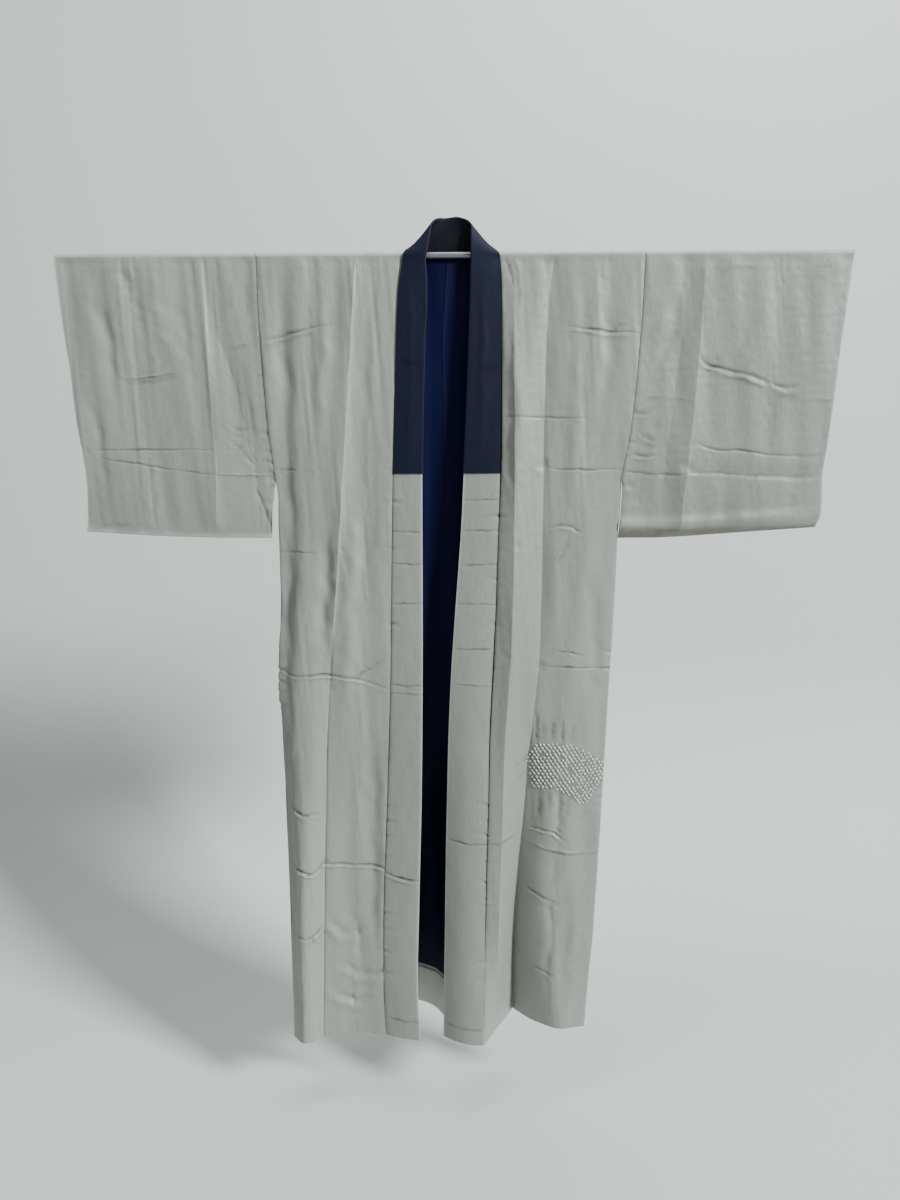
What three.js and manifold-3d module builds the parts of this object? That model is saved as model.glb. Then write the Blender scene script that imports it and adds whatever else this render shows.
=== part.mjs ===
// A full-length kimono hanging flat on a thin rod that runs through both sleeves.
// Millimetres, +Z up, front facing -Y, +X on the wearer's left. The origin is the rod's centre.
// Each piece of cloth is a closed wall laid round a surface that is drawn between guide lines:
// a guide is a seam, a fold or an edge, given as a short table of its places from the top down.
import * as THREE from "three";
import { mergeVertices } from "three/addons/utils/BufferGeometryUtils.js";
import Module from "manifold-3d";

// Driving sizes
const ROD_RADIUS = 5;
const ROD_END_RIGHT = -668;
const ROD_END_LEFT = 686;
const ROD_SIDES = 24;
const CLOTH = 1.2;
const LINING_CLOTH = 1.0;
const COVER_CLOTH = 1.0;
const LAYER_GAP = 0.3;
const SEAM_GAP = 0.8;
const HALVES_GAP = 0.3;
const FOLD_RADIUS = ROD_RADIUS + LAYER_GAP + CLOTH / 2;
const HEM = -1447;
const ARMHOLE_END = -381;
const SLEEVE_DROP = 483;
const SLEEVE_FOLD_DROP = 1.2;
const SIDE_SEAM_GAP = 2.2;
const COVER_LENGTH = 372;
const FACING_HEIGHT = 88;
const MERGE_DISTANCE = 1e-4;

// The cloth's, lining's and rod's colours
const CELADON = { color: 0xa4aaa0, roughness: 0.62, metalness: 0 };
const NAVY = { color: 0x1b2034, roughness: 0.55, metalness: 0 };
const LINING_NAVY = { color: 0x0b1038, roughness: 0.5, metalness: 0 };
const PALE_METAL = { color: 0xc9ccc8, roughness: 0.35, metalness: 0.6 };

// A guide line: rows of z, x and y from the top down. A round guide is the crest of a roll or
// the bottom of a dip, where the cloth runs level across; at the others it may turn sharply.
function guide(round, rows) {
  return { round, rows: rows.map(([z, x, y]) => ({ z, x, y })) };
}

// Wearer's left front, from the side seam to the collar seam
const LEFT_FRONT = {
  side: guide(false, [
    [0, 338, -6], [-115, 333, -8], [-220, 326, -8], [-300, 318, -6], [-381, 305, -3],
    [-400, 305.6, -2.4], [-440, 304.4, -2], [-489, 301, -2], [-560, 299, -1.5], [-715, 293, 0],
    [-865, 287, -1], [-1015, 280, -1], [-1245, 271, 3],
    [-1345, 264, 7], [-1447, 258, 12],
  ]),
  panel: guide(true, [
    [0, 262, -6], [-200, 252, -10], [-400, 240, -9], [-600, 234, -11], [-850, 222, -9],
    [-1100, 212, -6], [-1300, 205, -1], [-1447, 208, 2],
  ]),
  crease: guide(false, [
    [0, 181, -6], [-70, 173, -11], [-130, 169, -14], [-275, 166, -17], [-475, 164.5, -20],
    [-600, 163, -20], [-715, 160, -16], [-850, 148, -4], [-1070, 132, 18], [-1190, 125, 32],
    [-1300, 120.5, 45], [-1447, 121, 62],
  ]),
  dip: guide(false, [
    [0, 112, -6], [-130, 112, -4], [-275, 113, -4], [-475, 113, -7], [-600, 111, -10],
    [-715, 107, -12], [-850, 101, -13], [-1070, 92, -12], [-1300, 85, -6], [-1447, 83, 0],
  ]),
  seam: guide(false, [
    [0, 87, -6], [-37, 90.3, -9], [-211, 90.4, -11], [-370, 89, -14], [-475, 86, -17],
    [-600, 82, -20], [-723, 76, -24], [-850, 70, -29], [-1037, 67, -36], [-1186, 62.6, -41],
    [-1340, 61, -45], [-1447, 57, -48],
  ]),
};

// Wearer's right front, from the side seam to the collar seam
const RIGHT_FRONT = {
  side: guide(false, [
    [0, -331, -6], [-145, -328.5, -8], [-240, -323.6, -8], [-300, -319.7, -6], [-381, -311, -3],
    [-417, -307, -3], [-600, -308.5, -2], [-684, -313.5, -3], [-770, -317.4, -4],
    [-813, -313.4, -4], [-1010, -311, -6], [-1164, -309.5, -8], [-1300, -309, -11],
    [-1447, -308, -14],
  ]),
  roll: guide(true, [
    [0, -240, -6], [-200, -246, -11], [-354, -252, -13], [-600, -262, -18], [-850, -270, -25],
    [-1100, -276, -32], [-1300, -280, -37], [-1447, -283, -40],
  ]),
  crease: guide(false, [
    [0, -160, -6], [-60, -164, -11], [-354, -187, -15], [-539, -202, -16], [-680, -215, -15],
    [-850, -228, -14], [-985, -234, -14], [-1222, -243, -14], [-1447, -250, -15],
  ]),
  panel: guide(true, [
    [0, -120, -6], [-200, -133, -9], [-354, -142, -10], [-680, -160, -11], [-985, -175, -9],
    [-1222, -185, -7], [-1447, -190, -5],
  ]),
  seam: guide(false, [
    [0, -78, -6], [-58, -87.5, -8.5], [-210, -94.6, -10], [-372, -100.7, -11], [-597, -106.8, -12],
    [-722, -109.7, -12], [-850, -114.5, -12], [-1000, -121, -12], [-1110, -126.5, -12],
    [-1223, -131, -12], [-1338, -131.6, -12], [-1447, -129, -13],
  ]),
};

// The back, from the right side seam over the centre seam to the left side seam. The side
// seams take their x from the fronts.
const BACK = {
  rightQuarter: guide(true, [
    [0, -215, 6], [-200, -212, 10], [-600, -205, 21], [-850, -200, 31], [-1100, -196, 45],
    [-1300, -193, 58], [-1447, -190, 68],
  ]),
  rightInner: guide(true, [
    [0, -110, 6], [-200, -106, 11], [-400, -100, 18], [-600, -96, 27], [-850, -92, 43],
    [-1100, -88, 63], [-1300, -84, 84], [-1447, -80, 99],
  ]),
  centre: guide(false, [
    [0, 0, 6], [-140, -10, 12], [-265, -8, 14], [-390, -12, 18], [-600, -18, 25],
    [-715, -21, 30], [-965, -26, 43], [-1300, -31, 64], [-1447, -33, 74],
  ]),
  leftCrest: guide(true, [
    [0, 30, 6], [-200, 22, 11], [-400, 16, 15], [-600, 12, 19], [-850, 10, 23],
    [-1100, 8, 24], [-1300, 6, 24], [-1447, 5, 23],
  ]),
  leftInner: guide(true, [
    [0, 90, 6], [-200, 92, 12], [-400, 98, 18], [-600, 106, 27], [-850, 116, 43],
    [-1100, 122, 62], [-1300, 124, 79], [-1447, 124, 92],
  ]),
  leftQuarter: guide(true, [
    [0, 230, 6], [-200, 226, 10], [-600, 218, 19], [-850, 212, 27], [-1100, 206, 36],
    [-1300, 202, 45], [-1447, 200, 50],
  ]),
};

// How far the hem stands above its level, at the deep fold of the left front, on the panel beside
// it and at the centre back. The rise fades upwards with this power of the height.
const HEM_RISE = { leftCrease: 5, leftPanel: 1, backCentre: 2, power: 6 };

// The free (folded) edge and the middle of the collar on each front
const LEFT_COLLAR = {
  free: guide(false, [
    [-12, 38, -12], [-58, 34, -12], [-143, 32, -12.5], [-245, 29, -13], [-372, 23.5, -14.5],
    [-474, 19, -15], [-618, 8.3, -16], [-723, 0.8, -17], [-851, -5.3, -18], [-1037, -10.6, -18],
    [-1186, -13.5, -18], [-1300, -15.7, -18], [-1447, -18.5, -17],
  ]),
  bow: guide(false, [
    [-12, 0, 0.5], [-372, 0, 1], [-600, 0, 3], [-850, 0, 5], [-1100, 0, 7], [-1447, 0, 9],
  ]),
};
const RIGHT_COLLAR = {
  free: guide(false, [
    [-12, -40.5, -12], [-52, -38, -12.5], [-143, -38, -13], [-245, -42, -14], [-373, -46, -16],
    [-597, -49.3, -19], [-765, -52, -22], [-963, -55.5, -25], [-1186, -62.4, -29],
    [-1338, -66.3, -32], [-1447, -61.5, -33],
  ]),
  bow: guide(false, [[-12, 0, 0.5], [-600, 0, 1], [-1447, 0, 2]]),
};

// The collar round the neck, from the right front over the back to the left front: the seam
// lies on the neckline, and the free edge stands up behind the neck.
const NECK = [
  { seam: [-77, -9, 1], free: [-37.5, -11.5, 9] },
  { seam: [-72, -3.5, 8.6], free: [-33.5, -9, 29] },
  { seam: [-66, 2, 10], free: [-30.5, -4, 49] },
  { seam: [-60, 7, 7.5], free: [-24.5, 2, 58] },
  { seam: [-47, 9.4, 3], free: [-17.5, 6.5, 61.8] },
  { seam: [-26, 9.8, 0], free: [-7, 9.6, 61.2] },
  { seam: [0, 9.8, -1], free: [4, 10.4, 63] },
  { seam: [30, 9.8, 0], free: [13, 9.6, 64] },
  { seam: [53, 9.4, 3], free: [22, 6.5, 62] },
  { seam: [67, 7, 7.5], free: [31, 2, 58] },
  { seam: [73.5, 2, 10], free: [39, -4, 49] },
  { seam: [78, -3.5, 8.6], free: [38.5, -9, 30] },
  { seam: [84, -9, 1], free: [38, -11.5, 10] },
];

// The sleeves, from the cuff to the armhole seam. The pressed crease is a shallow valley, and the
// cloth rises from it to a slanting ridge. Below the armhole the inner edge is closed.
const RIGHT_SLEEVE = {
  cuff: guide(false, [
    [0, -678, -6], [-115, -670.5, -6], [-190, -662, -6], [-278, -656, -5], [-338, -648.5, -5],
    [-388, -646, -4], [-430, -648.5, -3], [-470, -651.5, -1.6],
  ]),
  wide: guide(true, [
    [0, -560, -6], [-100, -556, -11], [-250, -548, -14], [-400, -540, -11], [-480, -536, -1.6],
  ]),
  crease: guide(false, [
    [0, -424, -6], [-50, -422, -7], [-175, -419, -8], [-372, -412.5, -8], [-440, -416, -5],
    [-480, -417, -1.6],
  ]),
  ridge: guide(false, [
    [0, -408, -6], [-75, -406, -10], [-143, -400, -13], [-209, -377, -15], [-301, -359, -14],
    [-364, -348, -11], [-480, -334, -1.6],
  ]),
  inner: guide(false, [
    [0, -331, -6], [-145, -328.5, -8], [-240, -323.6, -8], [-300, -319.7, -6], [-381, -311, -3],
    [-400, -313.6, -2], [-434, -316.6, -1.6], [-482, -320, -1.6],
  ]),
  bottom: { cuff: -470, wide: -478, crease: -482.5, ridge: -SLEEVE_DROP, inner: -SLEEVE_DROP },
};
const LEFT_SLEEVE = {
  cuff: guide(false, [
    [0, 696, -6], [-108, 685.5, -6], [-146, 681.5, -6], [-211, 676.5, -6], [-325, 667, -5],
    [-379, 662.5, -4], [-444, 663.5, -3], [-469, 656, -1.6],
  ]),
  wide: guide(true, [
    [0, 575, -6], [-100, 570, -11], [-250, 560, -14], [-400, 546, -12], [-480, 540, -1.6],
  ]),
  crease: guide(false, [
    [0, 442, -6], [-94, 437.5, -7.5], [-170, 434, -8.5], [-275, 427, -9], [-369, 419.5, -8],
    [-480, 411, -1.6],
  ]),
  ridge: guide(false, [
    [0, 418, -6], [-100, 408, -10], [-200, 398, -12], [-300, 388, -12], [-380, 380, -10],
    [-480, 370, -1.6],
  ]),
  inner: guide(false, [
    [0, 338, -6], [-115, 333, -8], [-220, 326, -8], [-300, 318, -6], [-381, 305, -3],
    [-400, 306.5, -2], [-440, 305.2, -1.6], [-489, 301.8, -1.6],
  ]),
  bottom: { cuff: -469, wide: -477, crease: -485.5, ridge: -487, inner: -487 },
};

// Where the rows of cloth run, as shares of the drop from the rod to the hem
const ARMHOLE_SHARES = [0.09, 0.25, 0.42, 0.58, 0.76, 0.91, 1];
const FRONT_ROWS_BELOW = 15;
const FRONT_ROWS = ARMHOLE_SHARES.length + FRONT_ROWS_BELOW;
const SLEEVE_ROWS_BELOW = 3;
const LINING_TOP = -8;
const FACING_TOP = HEM + FACING_HEIGHT;
const LINING_ROWS = 15;
const FACING_ROWS = 2;
const WRAP_STEPS = 6;
const COLLAR_TOP = -12;
const COVER_ROWS = 8;
const COLLAR_ROWS_BELOW = 15;
const COLLAR_COLUMNS = [0.012, 0.27, 0.52, 0.77, 1];
const COLLAR_CLOTH = 1.2;
const COVER_GAP = 0.6;
const COVER_OFFSET = COLLAR_CLOTH / 2 + COVER_GAP + COVER_CLOTH / 2;
const COVER_FOLD = 2.4;
const COVER_EDGE_SHARE = 0.1;
const NECK_ROUNDING = 0.25;
const LINING_TRIM = 0.02;
const LINING_CENTRE_TRIM = 0.16;

// The neckline, where each half of the body ends inwards as it turns over the rod
const NECKLINE = [
  { turn: -90, left: 87, right: -78 },
  { turn: -60, left: 85.5, right: -76 },
  { turn: -30, left: 83, right: -73.5 },
  { turn: 0, left: 80, right: -70.5 },
  { turn: 30, left: 75, right: -67 },
  { turn: 60, left: 55, right: -49 },
  { turn: 90, left: 0, right: 0 },
];
const TOP_TURN = 3;

// The tie-dyed patch on the wearer's left front: rows of small raised knots on the slant
const KNOTS = {
  pitch: 12,
  rowShare: 0.8,
  slant: THREE.MathUtils.degToRad(-52),
  height: 1.5,
  base: 5.4,
  sink: 0.9,
  sides: 4,
  rowsEachWay: 12,
  centre: { x: 212, z: -925 },
  seenFrom: -200,
  outline: [
    [146, -886], [158, -871], [176, -864], [204, -866], [232, -882], [262, -896], [280, -905],
    [281, -938], [262, -962], [250, -988], [232, -976], [204, -955], [176, -950], [147, -946],
    [141, -926],
  ],
};

const clamp01 = (t) => Math.min(1, Math.max(0, t));
const mix = (a, b, t) => a + (b - a) * t;
const point = (x, y, z) => new THREE.Vector3(x, y, z);

// A column of a guide at height z, on a smooth curve through its rows
function at(line, column, z) {
  const rows = line.rows;
  const last = rows.length - 1;
  let i = 0;
  while (i < last - 1 && z < rows[i + 1].z) i += 1;
  const [a, b] = [rows[i], rows[i + 1]];
  const before = rows[Math.max(0, i - 1)];
  const after = rows[Math.min(last, i + 2)];
  const span = b.z - a.z;
  const t = clamp01((z - a.z) / span);
  const slope = (p, q) => (q[column] - p[column]) / (q.z - p.z);
  const leaving = slope(before, b) * span;
  const arriving = slope(a, after) * span;
  const t2 = t * t;
  const t3 = t2 * t;
  return (
    (2 * t3 - 3 * t2 + 1) * a[column] + (t3 - 2 * t2 + t) * leaving +
    (3 * t2 - 2 * t3) * b[column] + (t3 - t2) * arriving
  );
}

// The share of the way from one guide's depth to the next: level beside a round guide
function ease(t, roundStart, roundEnd) {
  if (roundStart && roundEnd) return t * t * (3 - 2 * t);
  if (roundStart) return t * t * (1.6 - 0.6 * t);
  if (roundEnd) return 1 - (1 - t) * (1 - t) * (1.6 - 0.6 * (1 - t));
  return t;
}

// A place on the cloth between a list of guides, at height z and step k counted across them
function between(lines, z, k) {
  const i = Math.min(lines.length - 2, Math.floor(k));
  const t = k - i;
  const [a, b] = [lines[i], lines[i + 1]];
  const depth = ease(t, a.round, b.round);
  return { x: mix(at(a, "x", z), at(b, "x", z), t), y: mix(at(a, "y", z), at(b, "y", z), depth) };
}

// Steps across a list of guides: so many columns in each gap
function steps(counts) {
  const out = [0];
  counts.forEach((count, gap) => {
    for (let i = 1; i <= count; i += 1) out.push(gap + i / count);
  });
  return out;
}

// The normals of a grid of points, from the neighbours along and across
function normalsOf(grid, looped) {
  const rows = grid.length;
  return grid.map((row, i) =>
    row.map((_, j) => {
      const up = looped ? grid[(i + rows - 1) % rows][j] : grid[Math.max(0, i - 1)][j];
      const down = looped ? grid[(i + 1) % rows][j] : grid[Math.min(rows - 1, i + 1)][j];
      const left = row[Math.max(0, j - 1)];
      const right = row[Math.min(row.length - 1, j + 1)];
      const along = point().subVectors(down, up);
      const across = point().subVectors(right, left);
      return along.cross(across).normalize();
    }),
  );
}

// Points moved off a grid along its normals
function offset(grid, normals, distance) {
  return grid.map((row, i) =>
    row.map((p, j) => p.clone().addScaledVector(normals[i][j], distance)),
  );
}

// A closed wall between two grids of points. From column turnedFrom on, the faces are split along
// their other diagonal.
function wallBetween(outer, inner, turnedFrom = Infinity) {
  const rows = outer.length;
  const cols = outer[0].length;
  const positions = [];
  [outer, inner].forEach((grid) =>
    grid.forEach((row) => row.forEach((p) => positions.push(p.x, p.y, p.z))),
  );
  const id = (side, i, j) => side * rows * cols + i * cols + j;
  const faces = [];
  const quad = (a, b, c, d) => faces.push(a, b, c, a, c, d);
  for (let i = 0; i < rows - 1; i += 1) {
    for (let j = 0; j < cols - 1; j += 1) {
      if (j < turnedFrom) {
        quad(id(0, i, j), id(0, i + 1, j), id(0, i + 1, j + 1), id(0, i, j + 1));
        quad(id(1, i, j), id(1, i, j + 1), id(1, i + 1, j + 1), id(1, i + 1, j));
      } else {
        quad(id(0, i + 1, j), id(0, i + 1, j + 1), id(0, i, j + 1), id(0, i, j));
        quad(id(1, i, j + 1), id(1, i + 1, j + 1), id(1, i + 1, j), id(1, i, j));
      }
    }
    quad(id(0, i, 0), id(1, i, 0), id(1, i + 1, 0), id(0, i + 1, 0));
    const e = cols - 1;
    quad(id(0, i, e), id(0, i + 1, e), id(1, i + 1, e), id(1, i, e));
  }
  const end = rows - 1;
  for (let j = 0; j < cols - 1; j += 1) {
    quad(id(0, 0, j), id(0, 0, j + 1), id(1, 0, j + 1), id(1, 0, j));
    quad(id(0, end, j), id(1, end, j), id(1, end, j + 1), id(0, end, j + 1));
  }
  const geometry = new THREE.BufferGeometry();
  geometry.setAttribute("position", new THREE.Float32BufferAttribute(positions, 3));
  geometry.setIndex(faces);
  return facingOut(geometry);
}

function volumeOf(geometry) {
  const p = geometry.getAttribute("position");
  const index = geometry.getIndex().array;
  const [a, b, c] = [point(), point(), point()];
  let total = 0;
  for (let i = 0; i < index.length; i += 3) {
    a.fromBufferAttribute(p, index[i]);
    b.fromBufferAttribute(p, index[i + 1]);
    c.fromBufferAttribute(p, index[i + 2]);
    total += a.dot(b.cross(c)) / 6;
  }
  return total;
}

function facingOut(geometry) {
  if (volumeOf(geometry) > 0) return geometry;
  const index = geometry.getIndex().array;
  for (let i = 0; i < index.length; i += 3) {
    [index[i + 1], index[i + 2]] = [index[i + 2], index[i + 1]];
  }
  return geometry;
}

// The whole numbers from first to last
function count(first, last) {
  return Array.from({ length: last - first + 1 }, (_, i) => first + i);
}

// A wall over some rows of a grid. Each row that it shares with the piece that goes on from it is
// moved away from that piece by the row's shift.
function wallOver(grid, thickness, { rows, shifts, looped = false, turnedFrom = Infinity }) {
  const normals = normalsOf(grid, looped);
  const moved = rows.map((i) => grid[i].map((p) => p.clone().add(shifts.get(i) ?? point())));
  const facing = rows.map((i) => normals[i]);
  return wallBetween(
    offset(moved, facing, thickness / 2),
    offset(moved, facing, -thickness / 2),
    turnedFrom,
  );
}

// One side of the body: a single strip of cloth from the front hem over the rod to the back hem
function bodyGrid(side) {
  const left = side === "left";
  const front = left ? LEFT_FRONT : RIGHT_FRONT;
  const frontLines = left
    ? [front.side, front.panel, front.crease, front.dip, front.seam]
    : [front.side, front.roll, front.crease, front.panel, front.seam];
  const frontSteps = left ? steps([3, 4, 4, 3]) : steps([4, 4, 3, 3]);
  const grid = frontHeights().map((z) => frontRow(frontLines, frontSteps, z, left)).reverse();
  NECKLINE.forEach((row) => grid.push(wrapRow(frontLines, frontSteps, row, left)));
  backHeights().forEach((z) => grid.push(backRow(side, z)));
  return grid;
}

function armholeHeights() {
  return ARMHOLE_SHARES.map((share) => share * ARMHOLE_END);
}

// The heights of the front's rows: down the armhole, then down to the hem
function frontHeights() {
  const below = Array.from({ length: FRONT_ROWS_BELOW }, (_, i) =>
    mix(ARMHOLE_END, HEM, (i + 1) / FRONT_ROWS_BELOW),
  );
  return [...armholeHeights(), ...below];
}

// The heights of the back's rows: down the lining, then down the hem facing
function backHeights() {
  const rows = (top, bottom, count) =>
    Array.from({ length: count }, (_, i) => mix(top, bottom, (i + 1) / count));
  return [
    LINING_TOP,
    ...rows(LINING_TOP, FACING_TOP, LINING_ROWS),
    ...rows(FACING_TOP, HEM, FACING_ROWS),
  ];
}

// The gap that each piece keeps at a seam, half of it on each side and towards the piece
function seamShift(k, last, left) {
  const outward = left ? 1 : -1;
  if (k === 0) return -outward * (SEAM_GAP / 2);
  if (k === last) return outward * (SEAM_GAP / 2);
  return 0;
}

function hemRise(k, z, left) {
  if (!left) return 0;
  const nearCrease = Math.max(0, 1 - Math.abs(k - 2));
  const nearPanel = Math.max(0, 1 - Math.abs(k - 1));
  const rise = HEM_RISE.leftCrease * nearCrease + HEM_RISE.leftPanel * nearPanel;
  return rise * (z / HEM) ** HEM_RISE.power;
}

function frontRow(lines, columns, z, left) {
  const last = columns[columns.length - 1];
  return columns.map((k) => {
    const p = between(lines, z, k);
    return point(p.x + seamShift(k, last, left), p.y, z + hemRise(k, z, left));
  });
}

// A row over the rod, where the inner edge runs back along the neckline to the centre back
function wrapRow(lines, columns, neck, left) {
  const turn = THREE.MathUtils.degToRad(neck.turn);
  const last = columns[columns.length - 1];
  const sideX = at(lines[0], "x", 0);
  const inner = left ? neck.left : neck.right;
  const frontInner = at(lines[lines.length - 1], "x", 0);
  return columns.map((k) => {
    const x = between(lines, 0, k).x;
    const share = (x - sideX) / (frontInner - sideX);
    const wide = mix(sideX, inner, share) + seamShift(k, last, left);
    return point(wide, FOLD_RADIUS * Math.sin(turn), FOLD_RADIUS * Math.cos(turn));
  });
}

// The guides of one side of the back, from its side seam to the centre seam
function backLines(side) {
  const left = side === "left";
  const front = left ? LEFT_FRONT.side : RIGHT_FRONT.side;
  const edge = {
    round: false,
    rows: front.rows.map(({ z, x, y }) => {
      const open = z > ARMHOLE_END;
      return { z, x, y: open ? -y : y + SIDE_SEAM_GAP };
    }),
  };
  return left
    ? [edge, BACK.leftQuarter, BACK.leftInner, BACK.leftCrest, BACK.centre]
    : [edge, BACK.rightQuarter, BACK.rightInner, BACK.centre];
}

function backSteps(side) {
  return side === "left" ? steps([4, 4, 4, 2]) : steps([5, 5, 4]);
}

function backRow(side, z) {
  const left = side === "left";
  const lines = backLines(side);
  const columns = backSteps(side);
  const last = columns[columns.length - 1];
  return columns.map((k) => {
    const p = between(lines, z, k);
    const centreRise = HEM_RISE.backCentre * (z / HEM) ** HEM_RISE.power * clamp01(k / last);
    return point(p.x + seamShift(k, last, left), p.y, z + centreRise);
  });
}

// The sleeve's rows as shares of its drop: its inner edge has the body's rows down the armhole
function sleeveShares() {
  const below = Array.from({ length: SLEEVE_ROWS_BELOW }, (_, i) =>
    mix(-ARMHOLE_END, SLEEVE_DROP, (i + 1) / SLEEVE_ROWS_BELOW),
  );
  return [...armholeHeights().map((z) => -z), ...below].map((drop) => drop / SLEEVE_DROP);
}

// A sleeve: its rows run up the front, over the rod, down the back and to the fold at the bottom.
// It is open at the cuff and the armhole.
function sleeveGrid(shape, left) {
  const names = ["cuff", "wide", "crease", "ridge", "inner"];
  const lines = names.map((name) => shape[name]);
  const bottoms = names.map((name) => shape.bottom[name]);
  const columns = steps([4, 4, 2, 3]);
  const last = columns[columns.length - 1];
  const outward = left ? 1 : -1;
  const bottomAt = (k) => {
    const i = Math.min(bottoms.length - 2, Math.floor(k));
    return mix(bottoms[i], bottoms[i + 1], k - i);
  };
  const place = (k, share, face) => {
    const z = bottomAt(k) * share;
    const p = between(lines, z, k);
    const shift = k === last ? outward * (SEAM_GAP / 2) : 0;
    return point(p.x + shift, face * p.y, z);
  };
  const shares = sleeveShares();
  const grid = shares.map((share) => columns.map((k) => place(k, share, 1))).reverse();
  for (let i = 0; i <= WRAP_STEPS; i += 1) {
    const turn = Math.PI * (i / WRAP_STEPS - 0.5);
    const [y, z] = [FOLD_RADIUS * Math.sin(turn), FOLD_RADIUS * Math.cos(turn)];
    grid.push(columns.map((k) => point(place(k, 0, 1).x, y, z)));
  }
  shares.forEach((share) => grid.push(columns.map((k) => place(k, share, -1))));
  const bottom = columns.map((k) => place(k, 1, 1));
  grid.push(bottom.map((p) => point(p.x, 0, p.z - SLEEVE_FOLD_DROP)));
  return grid;
}

// One half of a sleeve's wall, from the fold over the rod to the fold at the bottom
function sleeveHalf(shape, left, side) {
  const grid = sleeveGrid(shape, left);
  const bottom = grid.length - 1;
  const top = sleeveShares().length + WRAP_STEPS / 2;
  const front = side === "front";
  const rows = front ? [bottom, ...count(0, top)] : count(top, bottom);
  const shift = point(0, ((front ? -1 : 1) * HALVES_GAP) / 2, 0);
  const shifts = new Map([[top, shift], [bottom, shift]]);
  return wallOver(grid, CLOTH, { rows, shifts, looped: true });
}

// One half of a side of the body, from its hem to the fold over the rod
function bodyHalf(side, half) {
  const grid = bodyGrid(side);
  const top = FRONT_ROWS + TOP_TURN;
  const front = half === "front";
  const rows = front ? count(0, top) : count(top, grid.length - 1);
  const shift = point(0, ((front ? -1 : 1) * HALVES_GAP) / 2, 0);
  return wallOver(grid, CLOTH, { rows, shifts: new Map([[top, shift]]) });
}

// Rows of the collar band: a front run down from the neck, as points across from seam to free edge
function collarFront(front, collar, z, columns) {
  const seam = point(at(front.seam, "x", z), at(front.seam, "y", z), z);
  const free = point(at(collar.free, "x", z), at(collar.free, "y", z), z);
  return columns.map((w) => {
    const p = point().lerpVectors(seam, free, w);
    p.y -= at(collar.bow, "y", z) * Math.sin(Math.PI * w);
    return p;
  });
}

function collarNeck(row, columns) {
  const seam = point(...row.seam);
  const free = point(...row.free);
  return columns.map((w) => point().lerpVectors(seam, free, w));
}

// The heights of the collar's front rows, from just below the neck to the cover's end and the hem
function collarHeights() {
  const upper = Array.from({ length: COVER_ROWS + 1 }, (_, i) =>
    mix(COLLAR_TOP, -COVER_LENGTH, i / COVER_ROWS),
  );
  const lower = Array.from({ length: COLLAR_ROWS_BELOW }, (_, i) =>
    mix(-COVER_LENGTH, HEM, (i + 1) / COLLAR_ROWS_BELOW),
  );
  return [...upper, ...lower];
}

// The whole collar band, from the right front's hem round the neck and down to the left's
function collarGrid() {
  const heights = collarHeights();
  const run = (front, collar) => heights.map((z) => collarFront(front, collar, z, COLLAR_COLUMNS));
  const right = run(RIGHT_FRONT, RIGHT_COLLAR).reverse();
  const neck = NECK.map((row) => collarNeck(row, COLLAR_COLUMNS));
  const left = run(LEFT_FRONT, LEFT_COLLAR);
  return smoothNeck([...right, ...neck, ...left], heights.length);
}

// One pass that rounds the band's rows where it turns over the shoulders
function smoothNeck(grid, frontRows) {
  return grid.map((row, i) => {
    const inNeck = i > frontRows - 1 && i < grid.length - frontRows;
    if (!inNeck) return row;
    return row.map((p, j) => {
      const mean = point().addVectors(grid[i - 1][j], grid[i + 1][j]).multiplyScalar(0.5);
      return point().lerpVectors(p, mean, NECK_ROUNDING);
    });
  });
}

// A front run of a band's wall, from its end on that side to just below the shoulder
function bandFront(grid, thickness, side, turnedFrom) {
  const last = grid.length - 1;
  const run = (last - NECK.length - 1) / 2;
  const right = side === "right";
  const rows = right ? count(0, run) : count(last - run, last);
  const shifts = new Map([[right ? run : last - run, point(0, 0, -HALVES_GAP / 2)]]);
  return wallOver(grid, thickness, { rows, shifts, turnedFrom });
}

// The run of a band's wall on one side of the neck, from just below the shoulder to the centre back
function bandNeck(grid, thickness, side, turnedFrom) {
  const last = grid.length - 1;
  const run = (last - NECK.length - 1) / 2;
  const right = side === "right";
  const rows = right ? count(run, last / 2) : count(last / 2, last - run);
  const shifts = new Map([
    [right ? run : last - run, point(0, 0, HALVES_GAP / 2)],
    [last / 2, point(((right ? -1 : 1) * HALVES_GAP) / 2, 0, 0)],
  ]);
  return wallOver(grid, thickness, { rows, shifts, turnedFrom });
}

// The collar cover's sheet, folded over the collar's free edge, with a leaf on each face
function coverGrid() {
  const grid = collarGrid();
  const normals = normalsOf(grid, false);
  const first = COLLAR_ROWS_BELOW;
  const end = grid.length - COLLAR_ROWS_BELOW;
  const e = COLLAR_COLUMNS.length - 1;
  return grid.slice(first, end).map((row, i) => {
    const facing = normals[first + i];
    const start = row[0].clone().lerp(row[1], COVER_EDGE_SHARE);
    const inset = [start, ...row.slice(1)];
    const face = (j, side) => inset[j].clone().addScaledVector(facing[j], side * COVER_OFFSET);
    const out = point().subVectors(row[e], row[e - 1]).normalize();
    const front = row.map((_, j) => face(j, 1));
    const back = row.map((_, j) => face(e - j, -1));
    const tip = row[e].clone().addScaledVector(out, COVER_FOLD);
    return [...front, tip, ...back];
  });
}

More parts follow.
